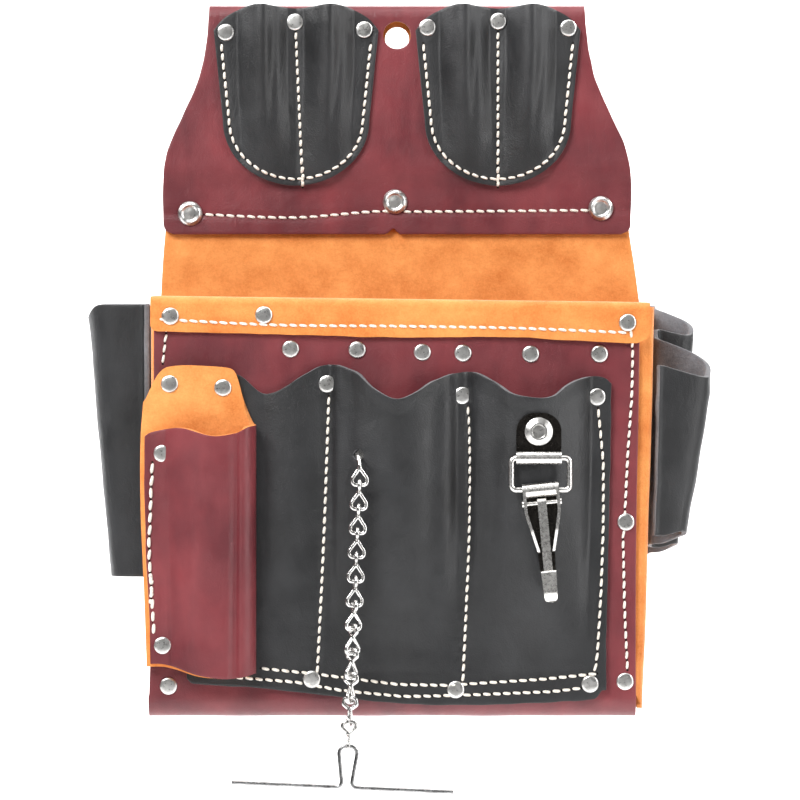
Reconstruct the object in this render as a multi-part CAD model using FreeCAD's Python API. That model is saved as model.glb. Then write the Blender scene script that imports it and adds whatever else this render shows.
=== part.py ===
"""Leather electrician's tool pouch with a chain and tape bar and a snap clip.

Frame: millimetres, +Z up, the front faces -Y and +X is to the wearer's left. The origin is the
centre of the hang hole, half way between the two leaves of the belt tunnel.
"""
import FreeCAD, Part
import math
import os

V = FreeCAD.Vector

# Leather thicknesses
panel_leather = 3.2
gusset_leather = 2.6
pocket_leather = 2.8
top_leather = 2.4
strip_leather = 2.0

# Bag
bag_depth = 66.0
bag_half_width = 121.5
bag_bottom_left = -124.3
bag_bottom_right = 119.6
bag_bottom = -344.5
bag_bend = 10.0
back_top = -80.0
mouth_left = (-124.0, -133.8)
mouth_right = (126.0, -137.0)
left_wall = 124.0
right_wall = 128.0
flange_width = 16.0
gusset_bend = 5.0

# Belt tunnel
tunnel_top = 16.7
tunnel_bottom = -100.8
tunnel_gap = 6.0
tunnel_throat = -68.0
seam_top = -76.0
tunnel_half_top = 96.5
tunnel_half_bottom = 120.0
hang_hole_radius = 6.2

# Faces that the pieces are stacked on, from the back to the front
back_face = -panel_leather / 2
front_inner = back_face - bag_depth
front_outer = front_inner - panel_leather
pocket_face = front_outer - pocket_leather
sheath_face = pocket_face - pocket_leather
flange_face = front_inner + gusset_leather
tunnel_face = -tunnel_gap / 2 - panel_leather
seam_face = back_face - panel_leather

# Front pocket: the leather is flat at the seams and arched between them
pocket_left = -105.0
pocket_right = 107.0
pocket_arches = [(-64.0, -40.0, 2.5), (-30.0, 27.6, 11.0), (37.6, 94.6, 14.0)]
pocket_straight_to = -240.0
flat_rise = 0.02

# Sheath
sheath_left = -128.5
sheath_right = -70.0
sheath_gap = 11.8
sheath_margin = -112.0

# Top pockets
top_pocket_half = 42.2
top_pocket_centre = 51.8
top_pocket_arch = 8.8

# Rivets
shaft_radius = 1.6
shaft_clearance = 0.1
seat_gap = 0.005
rivet_lip = 0.5
clip_rivet_shaft = 2.3
small_head = 4.4
big_head = 6.4
wall_head = 3.4

# Chain and tape bar
wire_radius = 1.0
chain_pitch = 11.97
chain_play = 0.29
chain_lean = 2.5
link_half_width = 3.7
link_upper = 5.9
link_twists = [0, 0, 0, 0, 8, 20, 34, 50, 66, 80, 90]
chain_stand_off = 16.9
chain_plane = pocket_face - chain_stand_off
anchor_stand_off = 0.6
anchor_head = pocket_face - anchor_stand_off
chain_hole = (-19.3, -213.3)
first_joint = (-18.4, -227.1)
bar_wire = 0.95
bar_left = 57.0
bar_right = 53.0
bar_drop = 20.6

# Clip
clip_centre = 71.2
clip_rivet_place = (70.4, -201.7)
clip_plate_thickness = 1.0
clip_plate_half = 11.2
ring_wire = 1.4
ring_half_width = 14.4
ring_top = -214.8
ring_bottom = -230.6
clip_stand_off = 17.8
clip_plane = pocket_face - clip_stand_off
snap_lean = -5.4
snap_body_half = 9.0
snap_waist_half = 4.25
snap_hook_half = 3.1
snap_waist = -31.0
snap_tip = -56.0
snap_eye = 2.5
snap_shell = 3.6
snap_sheet = 1.5
snap_rail_front = 3.6
snap_lip = -7.6
snap_pin_hole = 1.1
snap_pin_place = (-1.4, -6.4)
lever_half = 2.2

# Each rivet is (x, z, front of the stack, back of the stack).
tunnel_rivet_places = [
    (-106.3, -90.3, seam_face, -seam_face),
    (-1.0, -84.2, seam_face, -seam_face),
    (104.7, -87.6, seam_face, -seam_face),
]
top_pocket_rivet_places = [
    (x, z, tunnel_face - top_leather, -tunnel_gap / 2)
    for x, z in [(-87.8, 2.5), (-52.4, 7.8), (-16.9, 3.9), (15.6, 5.0), (51.8, 8.2), (87.8, 4.7)]
]
mouth_rivet_places = [
    (x, z, front_outer - gusset_leather, flange_face)
    for x, z in [(-113.2, -144.2), (-66.5, -143.6), (115.2, -147.4)]
]
strip_rivet_places = [
    (x, z, front_outer, front_inner + strip_leather)
    for x, z in [(-53.2, -160.5), (-19.9, -160.9), (12.7, -162.2), (33.0, -162.6), (66.8, -163.1),
                 (101.2, -163.0)]
]
front_pocket_rivet_places = [
    (x, z, pocket_face - flat_rise - seat_gap, front_inner)
    for x, z in [(-35.0, -178.0), (32.6, -183.8), (99.9, -184.5), (-42.5, -325.5), (29.4, -330.6),
                 (96.4, -327.8)]
]
sheath_rivet_places = [
    (-113.4, -178.0, sheath_face, flange_face),
    (-86.8, -180.0, sheath_face, front_inner),
    (-116.9, -212.7, sheath_face - pocket_leather, flange_face),
    (-116.7, -308.3, sheath_face - pocket_leather, flange_face),
]
side_rivet_places = [
    (x, z, front_outer, flange_face)
    for x, z in [(114.4, -247.0), (114.0, -326.7), (-114.2, -329.0)]
]
# The right holder is riveted through the gusset wall: (y, z).
holder_rivet_places = [(-35.2, -160.5), (-35.2, -254.0)]


def box(x_span, y_span, z_span):
    """Make a box from three (low, high) pairs."""
    size = [high - low for low, high in (x_span, y_span, z_span)]
    return Part.makeBox(*size, V(x_span[0], y_span[0], z_span[0]))


def cylinder(start, direction, radius, length):
    """Make a cylinder of the given length from start towards direction."""
    return Part.makeCylinder(radius, length, V(*start), V(*direction))


def rounded_edges(points, radii, closed=True):
    """Join points with straight edges and round each corner with an arc of its radius."""
    count = len(points)
    corners = []
    for index, (point, radius) in enumerate(zip(points, radii)):
        is_end = not closed and index in (0, count - 1)
        if radius <= 0 or is_end:
            corners.append((point, None, point))
            continue
        before = (points[index - 1] - point).normalize()
        after = (points[(index + 1) % count] - point).normalize()
        half_angle = before.getAngle(after) / 2
        reach = radius / math.tan(half_angle)
        middle = (before + after).normalize() * (radius / math.sin(half_angle) - radius)
        corners.append((point + before * reach, point + middle, point + after * reach))
    edges = []
    last = count if closed else count - 1
    for index in range(count):
        start, middle, end = corners[index]
        if middle is not None:
            edges.append(Part.Arc(start, middle, end).toShape())
        following = corners[(index + 1) % count][0]
        if index < last and end.distanceToPoint(following) > 1e-6:
            edges.append(Part.makeLine(end, following))
    return edges


def outline_xz(points, radii=None):
    """Make a closed wire in the XZ plane from (x, z) points with optional corner radii."""
    radii = radii or [0] * len(points)
    return Part.Wire(rounded_edges([V(x, 0, z) for x, z in points], radii))


def slab(wire, y_front, y_back):
    """Extrude a wire of the XZ plane between two depths."""
    face = Part.Face(wire)
    face.translate(V(0, y_front, 0))
    return face.extrude(V(0, y_back - y_front, 0))


def prism_yz(points, radii, x_low, x_high):
    """Extrude a rounded outline of (y, z) points along X."""
    corners = [V(x_low, y, z) for y, z in points]
    face = Part.Face(Part.Wire(rounded_edges(corners, radii)))
    return face.extrude(V(x_high - x_low, 0, 0))


def prism_xy(points, radii, z_low, z_high):
    """Extrude a rounded outline of (x, y) points along Z."""
    corners = [V(x, y, z_low) for x, y in points]
    face = Part.Face(Part.Wire(rounded_edges(corners, radii)))
    return face.extrude(V(0, 0, z_high - z_low))


def round_bar(points, radii, wire, closed=False):
    """Bend a round wire along a path: a cylinder for each straight and part of a torus for each arc."""
    stretches = []
    for edge in rounded_edges(points, radii, closed):
        start = edge.valueAt(edge.FirstParameter)
        end = edge.valueAt(edge.LastParameter)
        direction = edge.tangentAt(edge.FirstParameter)
        if isinstance(edge.Curve, Part.Circle):
            section = Part.Face(Part.Wire(Part.makeCircle(wire, start, direction)))
            turn = math.degrees(edge.Length / edge.Curve.Radius)
            centre = edge.Curve.Center
            axis = (start - centre).cross(direction)
            stretches.append(section.revolve(centre, axis, turn))
        else:
            stretches.append(Part.makeCylinder(wire, start.distanceToPoint(end), start, direction))
    bar = stretches[0]
    return bar.fuse(stretches[1:]).removeSplitter()


def save(name, shape):
    """Write one sub-part to its STEP file."""
    solids = shape.Solids
    result = solids[0] if len(solids) == 1 else Part.makeCompound(solids)
    result.exportStep(os.path.join("parts", name + ".step"))
    print(name, len(solids), round(result.Volume, 1), result.isValid())


# ---------------------------------------------------------------- rivets and their holes



def rivet(head, front, back):
    """Make a domed rivet along Y, clinched against both faces of its stack."""
    dome = 0.3 * head
    tail = 0.6 * head
    crown, rim = V(0, front - dome, 0), V(head, front - rivet_lip, 0)
    corners = [rim, V(head, front, 0), V(shaft_radius, front, 0), V(shaft_radius, back, 0), V(tail, back, 0),
               V(tail, back + rivet_lip, 0), V(0, back + rivet_lip, 0), crown]
    edges = [Part.Arc(crown, V(0.6 * head, front - 0.82 * dome, 0), rim).toShape()]
    edges += [Part.makeLine(start, end) for start, end in zip(corners, corners[1:])]
    return Part.Face(Part.Wire(edges)).revolve(V(0, 0, 0), V(0, 1, 0), 360)


def rivet_group(places, head):
    """Make the rivets of one group, each a solid of its own."""
    rivets = []
    for x, z, front, back in places:
        shape = rivet(head, front, back)
        shape.translate(V(x, 0, z))
        rivets.append(shape)
    return Part.makeCompound(rivets)


def shaft_holes():
    """Make one compound of cutters for every rivet that runs from front to back."""
    radius = shaft_radius + shaft_clearance
    groups = [tunnel_rivet_places, top_pocket_rivet_places, mouth_rivet_places, strip_rivet_places,
              front_pocket_rivet_places, sheath_rivet_places, side_rivet_places]
    cutters = []
    for x, z, front, back in sum(groups, []):
        cutters.append(cylinder((x, front - 1, z), (0, 1, 0), radius, back - front + 2))
    return Part.makeCompound(cutters)


def wall_holes():
    """Make the cutters for the rivets of the right holder, which run along X."""
    length = gusset_leather + pocket_leather + 2
    start = right_wall - gusset_leather - 1
    radius = shaft_radius + shaft_clearance
    return Part.makeCompound([cylinder((start, y, z), (1, 0, 0), radius, length)
                              for y, z in holder_rivet_places])


def holder_rivets():
    """Make the two rivets that hold the right holder to the gusset."""
    rivets = []
    for y, z in holder_rivet_places:
        shape = rivet(wall_head, -(right_wall + pocket_leather), -(right_wall - gusset_leather))
        shape.rotate(V(0, 0, 0), V(0, 0, 1), 90)
        shape.translate(V(0, y, z))
        rivets.append(shape)
    return Part.makeCompound(rivets)


# ---------------------------------------------------------------- the bag

def tunnel_panel():
    """Make the folded panel of the belt tunnel, with the hang hole through both leaves."""
    fold = tunnel_top + tunnel_face
    outer = [(seam_face, tunnel_bottom), (seam_face, seam_top), (tunnel_face, tunnel_throat),
             (tunnel_face, tunnel_top), (-tunnel_face, tunnel_top), (-tunnel_face, tunnel_throat),
             (-seam_face, seam_top), (-seam_face, tunnel_bottom)]
    gap = -tunnel_gap / 2
    inner = [(back_face, tunnel_bottom - 1), (back_face, seam_top), (gap, tunnel_throat),
             (gap, fold - gap), (-gap, fold - gap), (-gap, tunnel_throat),
             (-back_face, seam_top), (-back_face, tunnel_bottom - 1)]
    corner = -tunnel_face - 0.01
    inner_corner = -gap - 0.01
    reach = tunnel_half_bottom + 5
    panel = prism_yz(outer, [0, 0, 0, corner, corner, 0, 0, 0], -reach, reach)
    panel = panel.cut(prism_yz(inner, [0, 0, 0, inner_corner, inner_corner, 0, 0, 0], -reach, reach))

    sides = []
    for side in (-1, 1):
        flare = [V(side * tunnel_half_top, 0, tunnel_top + 1), V(side * 97.6, 0, 0),
                 V(side * 101.5, 0, -20), V(side * 109.5, 0, -39), V(side * 116.8, 0, -55),
                 V(side * tunnel_half_bottom, 0, -70), V(side * tunnel_half_bottom, 0, tunnel_bottom + 5)]
        curve = Part.BSplineCurve()
        curve.interpolate(flare)
        sides.append(curve.toShape())
    low = tunnel_bottom
    left, right = -tunnel_half_bottom, tunnel_half_bottom
    notch_x, notch_half, notch_height = -2.0, 3.0, 2.6
    foot = [V(left, 0, low + 5), V(left, 0, low), V(notch_x - notch_half, 0, low),
            V(notch_x, 0, low + notch_height), V(notch_x + notch_half, 0, low), V(right, 0, low),
            V(right, 0, low + 5)]
    foot_edges = rounded_edges(foot, [0, 4.9, 0, 0.5, 0, 4.9, 0], closed=False)
    head = Part.makeLine(V(-tunnel_half_top, 0, tunnel_top + 1), V(tunnel_half_top, 0, tunnel_top + 1))
    wire = Part.Wire(Part.__sortEdges__([head] + sides + foot_edges))
    panel = panel.common(slab(wire, tunnel_face - 1, -tunnel_face + 1))
    return panel.cut(cylinder((0, tunnel_face - 1, 0), (0, 1, 0), hang_hole_radius, -2 * tunnel_face + 2))


def mouth_height(x, drop=0.0):
    """Height of the mouth's edge at x, lower towards the right."""
    slope = (mouth_right[1] - mouth_left[1]) / (mouth_right[0] - mouth_left[0])
    return mouth_left[1] + slope * (x - mouth_left[0]) - drop


def body_panel():
    """Make the leather that wraps from the front mouth under the bag and up to the tunnel."""
    top = back_top + 10
    outer = [(front_outer, top), (-back_face, top), (-back_face, bag_bottom), (front_outer, bag_bottom)]
    inner = [(front_inner, top + 1), (back_face, top + 1), (back_face, bag_bottom + panel_leather),
             (front_inner, bag_bottom + panel_leather)]
    reach = bag_half_width + 10
    inner_bend = bag_bend - panel_leather
    shell = prism_yz(outer, [0, 0, bag_bend, bag_bend], -reach, reach)
    shell = shell.cut(prism_yz(inner, [0, 0, inner_bend, inner_bend], -reach, reach))

    middle = -136.0
    silhouette = [(-bag_half_width + 4, back_top), (bag_half_width - 4, back_top),
                  (bag_half_width, middle), (bag_bottom_right, bag_bottom - 1),
                  (bag_bottom_left, bag_bottom - 1), (-bag_half_width, middle)]
    shell = shell.common(slab(outline_xz(silhouette), front_outer - 1, -back_face + 1))
    above_mouth = outline_xz([(-reach, mouth_height(-reach, gusset_leather)), (-reach, top + 5),
                              (reach, top + 5), (reach, mouth_height(reach, gusset_leather))])
    return shell.cut(slab(above_mouth, front_outer - 1, front_inner + 1))


def gusset(side, wall):
    """Make one side of the bag: a channel whose flanges lie inside the front and the back."""
    inset = gusset_leather
    edge = wall - flange_width - (wall - bag_half_width)
    outer = [(side * edge, front_inner), (side * wall, front_inner), (side * wall, back_face),
             (side * edge, back_face)]
    inner = [(side * (edge - 1), front_inner + inset), (side * (wall - inset), front_inner + inset),
             (side * (wall - inset), back_face - inset), (side * (edge - 1), back_face - inset)]
    bend = gusset_bend
    low, high = bag_bottom, mouth_height(side * wall, 3.0)
    channel = prism_xy(outer, [0, bend, bend, 0], low, high)
    channel = channel.cut(prism_xy(inner, [0, bend - inset, bend - inset, 0], low - 1, high + 1))
    inner_bend = bag_bend - panel_leather
    floor = bag_bottom + panel_leather
    pocket = prism_yz([(front_inner, high + 1), (back_face, high + 1), (back_face, floor),
                       (front_inner, floor)], [0, 0, inner_bend, inner_bend], -wall - 5, wall + 5)
    return channel.common(pocket)


def mouth_binding():
    """Make the strip folded over the front edge of the mouth."""
    front = front_outer - gusset_leather
    left, right = mouth_left[0], mouth_right[0]
    low_left, low_middle, low_right = -151.5, -154.6, -157.6
    leg = outline_xz([mouth_left, mouth_right, (right, low_right), (0, low_middle), (left, low_left)],
                     [3, 8, 8, 0, 3])
    inside = bag_half_width - flange_width - 0.6
    cap = outline_xz([(-inside, mouth_height(-inside)), (inside, mouth_height(inside)),
                      (inside, mouth_height(inside, gusset_leather)),
                      (-inside, mouth_height(-inside, gusset_leather))])
    back_leg = outline_xz([(-inside, mouth_height(-inside)), (inside, mouth_height(inside)),
                           (inside, low_middle), (-inside, low_middle)])
    strip = slab(leg, front, front_outer)
    strip = strip.fuse(slab(cap, front_outer, front_inner))
    return strip.fuse(slab(back_leg, front_inner, flange_face)).removeSplitter()


def inner_loop_strip():
    """Make the strip of loops inside the front, held by six rivets."""
    stations = [place[0] for place in strip_rivet_places]
    low, high = -173.8, -154.9
    room, height = 6.5, 9.0
    arches = [(a + room, b - room, min(height, (b - a - 2 * room) * 0.5))
              for a, b in zip(stations, stations[1:])]
    wire = arched_wire(stations[0] - 8, stations[-1] + 3.5, arches, 1.0, front_inner, strip_leather, high)
    band = Part.Face(wire).extrude(V(0, 0, low - high))
    return band


# ---------------------------------------------------------------- pockets sewn to a flat panel

def arched_wire(left, right, arches, scale, base, thickness, z, sign=1):
    """Make the section of a band that lies on y = base and rises off it in arches.

    The band rises towards +Y when sign is 1 and towards -Y when it is -1.
    """
    top = base + sign * thickness
    outer, inner = [], []
    start_outer, start_inner = V(left, top, z), V(left, base, z)
    for a, b, height in arches:
        rise = sign * max(height * scale, flat_rise)
        slope = min(thickness * 0.5, (b - a) * 0.12)
        middle = (a + b) / 2
        outer.append(Part.makeLine(start_outer, V(a, top, z)))
        end_outer, end_inner = V(b, top, z), V(b - slope, base, z)
        outer.append(Part.Arc(V(a, top, z), V(middle, top + rise, z), end_outer).toShape())
        inner.append(Part.makeLine(start_inner, V(a + slope, base, z)))
        inner.append(Part.Arc(V(a + slope, base, z), V(middle, base + rise, z), end_inner).toShape())
        start_outer, start_inner = end_outer, end_inner
    outer.append(Part.makeLine(start_outer, V(right, top, z)))
    inner.append(Part.makeLine(start_inner, V(right, base, z)))
    right_end = Part.makeLine(V(right, top, z), V(right, base, z))
    left_end = Part.makeLine(V(left, base, z), V(left, top, z))
    return Part.Wire(Part.__sortEdges__(outer + [right_end] + inner[::-1] + [left_end]))


def arched_band(left, right, arches, base, thickness, levels):
    """Loft a band through sections at (z, scale of the arches), in front of y = base."""
    wires = [arched_wire(left, right, arches, scale, base, thickness, z, -1) for z, scale in levels]
    pieces = [Part.makeLoft(list(pair), True, True) for pair in zip(wires, wires[1:])]
    band = pieces[0]
    for piece in pieces[1:]:
        band = band.fuse(piece)
    return band.removeSplitter()


def front_pocket():
    """Make the leather of the three front pockets, with its scalloped top."""
    levels = [(-160.0, 1.0), (pocket_straight_to, 1.0), (-300.0, 0.30), (-319.0, 0.0), (-342.0, 0.0)]
    band = arched_band(pocket_left, pocket_right, pocket_arches, front_outer, pocket_leather, levels)
    scallops = [V(pocket_right, 0, -177.0), V(98, 0, -174.3), V(70, 0, -185.0), V(36, 0, -172.0),
                V(-1, 0, -185.5), V(-35, 0, -168.5), V(-65.5, 0, -183.0), V(-92, 0, -170.5),
                V(pocket_left, 0, -169.0)]
    curve = Part.BSplineCurve()
    curve.interpolate(scallops)
    foot = [V(pocket_left, 0, -169.0), V(pocket_left, 0, -326.5), V(-71, 0, -329.5), V(-11.5, 0, -336.0),
            V(24, 0, -338.5), V(101, 0, -335.5), V(104, 0, -331.0), V(pocket_right, 0, -177.0)]
    edges = rounded_edges(foot, [0] * len(foot), closed=False)
    wire = Part.Wire(Part.__sortEdges__([curve.toShape()] + edges))
    band = band.common(slab(wire, pocket_face - 20, front_outer + 1))
    x, z = chain_hole
    return band.cut(cylinder((x, pocket_face - 20, z), (0, 1, 0), 2.7, 22.5))


def top_pocket(centre, base):
    """Make one of the two double pockets on the belt tunnel."""
    half = top_pocket_half
    margin, seam = 12, 5.5
    arches = [(centre - half + margin, centre - seam, top_pocket_arch),
              (centre + seam, centre + half - margin, top_pocket_arch)]
    levels = [(19.0, 1.0), (-40.0, 0.6), (-80.0, 0.03)]
    band = arched_band(centre - half, centre + half, arches, base, top_leather, levels)
    shoulder, crest, dip, hips = 4.0, 16.6, 15.0, -43.0
    waist = half - 4.7
    bottom = -76.0
    rim = [V(centre - waist, 0, hips), V(centre - half, 0, shoulder), V(centre - half + 10, 0, 12.6),
           V(centre - half + 21, 0, crest), V(centre, 0, dip), V(centre + half - 21, 0, crest),
           V(centre + half - 10, 0, 12.6), V(centre + half, 0, shoulder), V(centre + waist, 0, hips)]
    edges = rounded_edges(rim, [0, 6, 14, 14, 0, 14, 14, 6, 0], closed=False)
    bowl = Part.Ellipse(V(centre + waist, 0, hips), V(centre, 0, bottom), V(centre, 0, hips))
    edges.append(Part.ArcOfEllipse(bowl, 0, math.pi).toShape())
    wire = Part.Wire(Part.__sortEdges__(edges))
    return band.common(slab(wire, base - top_leather - 15, base + 1))


# ---------------------------------------------------------------- sheath and holders

def tool_sheath():
    """Make the tool sheath: one piece folded on the right and stitched along the left."""
    back = pocket_face
    layer = pocket_leather
    front = sheath_face - sheath_gap
    fold = 7.0
    outer = [(sheath_left, back), (sheath_right, back), (sheath_right, front - layer), (-96.0, front - layer),
             (sheath_margin + 1.5, sheath_face - layer), (sheath_left, sheath_face - layer)]
    inner = [(sheath_margin, sheath_face), (sheath_right - layer, sheath_face), (sheath_right - layer, front),
             (-97.0, front)]
    body = prism_xy(outer, [0, fold, fold + 1, 12, 6, 0], -326.0, -168.0)
    body = body.cut(prism_xy(inner, [0.4, fold - layer, fold - layer + 1, 10], -327.0, -167.0))
    silhouette = [(-124.0, -169.3), (-82.0, -169.3), (-76.0, -186.0), (-72.5, -200.0), (sheath_right, -240.0),
                  (sheath_right, -322.0), (-76.0, -324.5), (-107.0, -320.5), (-125.0, -317.5),
                  (-126.5, -312.0),
                  (sheath_left, -230.0), (-127.6, -200.0)]
    sides = outline_xz(silhouette, [3, 10, 0, 0, 0, 3, 6, 0, 4, 0, 0, 0])
    body = body.common(slab(sides, front - 10, back + 1))
    above = outline_xz([(sheath_left - 2, -166), (sheath_left - 2, -203.5), (-120.0, -199.6),
                        (-92.0, -201.5), (-76.5, -200.5), (sheath_right + 1, -197.0),
                        (sheath_right + 1, -166)],
                       [0, 0, 6, 0, 0, 0, 0])
    return body.cut(slab(above, front - layer - 2, sheath_face))


def wall_arch(side, wall, span, rise, z):
    """Make the outer and the inner wire of an arch that stands on a gusset wall at height z."""
    y_low, y_high = span
    middle = (y_low + y_high) / 2
    lean, overcut = 1.2, 1.0
    wires = []
    for inset in (0.0, pocket_leather):
        top = rise - inset
        knee = side * (wall + 0.62 * top)
        base = side * (wall - (overcut if inset else 0.0))
        low, high = V(base, y_low + inset, z), V(base, y_high - inset, z)
        low_knee, high_knee = V(knee, y_low + inset + lean, z), V(knee, y_high - inset - lean, z)
        crest = V(side * (wall + top), middle, z)
        wires.append(Part.Wire([Part.makeLine(low, low_knee), Part.Arc(low_knee, crest, high_knee).toShape(),
                                Part.makeLine(high_knee, high), Part.makeLine(high, low)]))
    return wires


def wall_loft(side, wall, levels, layer=0):
    """Loft a tube through (z, span, rise) levels: its outside for layer 0, its hollow for layer 1."""
    sections = [wall_arch(side, wall, span, rise, z)[layer] for z, span, rise in levels]
    return Part.makeLoft(sections, True, True)


def wall_holder(side, wall, levels):
    """Make one hollow tube of a holder."""
    return wall_loft(side, wall, levels).cut(wall_loft(side, wall, levels, 1))


def wall_flange(side, wall, y_span, z_span):
    """Make a flat margin that lies on a gusset wall."""
    x_span = sorted((side * wall, side * (wall + pocket_leather)))
    return box(x_span, y_span, z_span)


def left_holder():
    """Make the tapered tube on the left gusset, with its sewn margins."""
    top, bottom = -137.4, -275.5
    levels = [(top, (-57.0, -17.0), 31.0), (bottom, (-50.0, -22.0), 21.0)]
    tube = wall_holder(-1, left_wall, levels)
    inside = wall_loft(-1, left_wall, levels)
    for y_span in ((-62.0, -49.0), (-24.0, -11.5)):
        tube = tube.fuse(wall_flange(-1, left_wall, y_span, (bottom, top)).cut(inside))
    return tube.removeSplitter()


def right_holder():
    """Make the double tube on the right gusset: one strip, cut on a slant at both ends."""
    high, low = -140.0, -270.0
    front = [(high, (-64.0, -39.6), 31.5), (low, (-61.0, -40.0), 19.0)]
    rear = [(high, (-31.2, -13.0), 23.0), (low, (-31.2, -14.5), 17.0)]
    strip = wall_holder(1, right_wall, front).fuse(wall_holder(1, right_wall, rear))
    margin = wall_flange(1, right_wall, (-40.6, -30.2), (low, high))
    margin = margin.fuse(wall_flange(1, right_wall, (-15.0, -8.0), (low, high)))
    for levels in (front, rear):
        margin = margin.cut(wall_loft(1, right_wall, levels))
    strip = strip.fuse(margin).removeSplitter()
    slant = [(-66.0, -173.0), (-8.0, -139.5), (-8.0, -265.5), (-66.0, -253.0)]
    return strip.common(prism_yz(slant, [0] * 4, right_wall - 1, right_wall + 40))


# ---------------------------------------------------------------- chain and tape bar

def link_length():
    """Distance between the wire centres at the two ends of a link."""
    return chain_pitch + 2 * wire_radius + chain_play


def link_loop(direction, length, half_width, straight):
    """Make one loop of wire that hangs from a link's waist, in the plane of Z and direction.

    Straight is the share of its length that the two legs spread over, before they bend in again.
    """
    waist, start, shoulder = 0.45, -0.35, straight * length
    spots = [(waist, start), (half_width, -shoulder), (half_width, -length),
             (-half_width, -length), (-half_width, -shoulder), (-waist, start)]
    points = [direction * across + V(0, 0, down) for across, down in spots]
    shoulder_bend, end_bend = 1.5, min(2.6, length - shoulder - 1.1)
    return round_bar(points, [0, shoulder_bend, end_bend, end_bend, shoulder_bend, 0], wire_radius)


def lower_loop():
    """Make the long drop-shaped loop that faces the front."""
    return link_loop(V(1, 0, 0), link_length() - link_upper, link_half_width, 0.62)


def waist_twist(centre):
    """Make the short twist of wire where the two loops of a link meet."""
    length = 1.2
    return Part.makeCylinder(1.5 * wire_radius, length, centre - V(0, 0, length / 2))


def chain_link():
    """Make a jack chain link about its waist: the upper loop stands square to the lower one."""
    upper = link_loop(V(0, 1, 0), link_upper, 3.3, 0.42)
    upper.rotate(V(0, 0, 0), V(1, 0, 0), 180)
    return waist_twist(V(0, 0, 0)).fuse(lower_loop()).fuse(upper).removeSplitter()


def lean_chain(shape):
    """Lean a piece that was built under the first joint the way the chain hangs."""
    x, z = first_joint
    shape.rotate(V(x, chain_plane, z), V(0, 1, 0), chain_lean)
    return shape


def chain_links():
    """Make the eleven links in their places, as (name, shape) pairs."""
    links = []
    for index, twist in enumerate(link_twists):
        link = chain_link()
        link.rotate(V(0, 0, 0), V(0, 0, 1), twist)
        top = first_joint[1] - chain_pitch * index + wire_radius + chain_play / 2
        waist = top - link_upper
        link.translate(V(first_joint[0], chain_plane, waist))
        links.append((f"chain_link_{index + 1:02d}", lean_chain(link)))
    return links


def chain_anchor():
    """Make the first link: its horn goes through the pocket leather and ends in a head."""
    hole_x, hole_z = chain_hole
    x, z = first_joint
    waist = z - wire_radius - chain_play / 2 + link_length() - link_upper
    loop = lower_loop()
    loop.translate(V(x, chain_plane, waist))
    points = [V(hole_x, anchor_head, hole_z), V(hole_x, chain_plane + 2.5, hole_z), V(x, chain_plane, waist + 1.5),
              V(x, chain_plane, waist - 0.8)]
    anchor = round_bar(points, [0, 3.5, 1.4, 0], wire_radius)
    for piece in (cylinder((hole_x, anchor_head + 0.8, hole_z), (0, -1, 0), 2.0, 1.6),
                  waist_twist(V(x, chain_plane, waist)), loop):
        anchor = anchor.fuse(piece)
    return anchor.removeSplitter()


def chain_washer():
    """Make the washer behind the leather that the anchor's head pulls against."""
    hole_x, hole_z = chain_hole
    disc = cylinder((hole_x, anchor_head - 0.85, hole_z), (0, -1, 0), 2.9, 0.6)
    return disc.cut(cylinder((hole_x, -74, hole_z), (0, -1, 0), wire_radius + 0.15, 4))


def tape_bar():
    """Make the bar that holds a roll of tape: a straight wire with a loop in its middle."""
    neck, shoulder = 2.2, 5.0
    spots = [(-bar_left, -bar_drop), (-neck, -bar_drop), (-shoulder, 0), (shoulder, 0), (neck, -bar_drop),
             (bar_right, -bar_drop)]
    points = [V(x, 0, z) for x, z in spots]
    bar = round_bar(points, [0, 2.6, 3.9, 3.9, 2.6, 0], bar_wire, closed=False)
    joint = first_joint[1] - chain_pitch * len(link_twists)
    bar.translate(V(first_joint[0], chain_plane, joint + bar_wire + chain_play / 2))
    return lean_chain(bar)


# ---------------------------------------------------------------- clip

def clip_plate():
    """Make the clip's plate: a rounded tongue whose lower end curls round the ring."""
    x, z = clip_rivet_place
    front = clip_plane + ring_wire + 0.9
    back = front + clip_plate_thickness
    half = clip_plate_half
    tongue = outline_xz([(x - half, z + 9.2), (x + half, z + 9.2), (x + half, ring_top),
                         (x - half, ring_top)], [9.0, 9.0, 0, 0])
    plate = slab(tongue, front, back)
    centre = (x - half, clip_plane, ring_top)
    sleeve = cylinder(centre, (1, 0, 0), back - clip_plane, 2 * half)
    plate = plate.fuse(sleeve)
    plate = plate.cut(cylinder(centre, (1, 0, 0), ring_wire + 0.3, 2 * half))
    hole = cylinder((x, front - 1, z), (0, 1, 0), clip_rivet_shaft + shaft_clearance, 4)
    return plate.cut(hole).removeSplitter()


def clip_rivet():
    """Make the open eyelet rivet that holds the plate, through the pocket leather."""
    x, z = clip_rivet_place
    front = clip_plane + ring_wire + 0.9
    back = pocket_face - pocket_arches[2][2] + pocket_leather + 1.1
    shaft = clip_rivet_shaft
    spots = [(shaft, back), (shaft, front), (7.0, front), (7.0, front - 0.7), (4.2, front - 1.9),
             (3.2, front - 1.9),
             (3.2, front - 0.6), (0, front - 0.6), (0, back + 0.9), (4.4, back + 0.9), (4.4, back)]
    edges = rounded_edges([V(r, y, 0) for r, y in spots], [0, 0, 0, 0.3, 0.5, 0.3, 0, 0, 0, 0, 0])
    shape = Part.Face(Part.Wire(edges)).revolve(V(0, 0, 0), V(0, 1, 0), 360)
    shape.translate(V(x, 0, z))
    return shape


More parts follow.
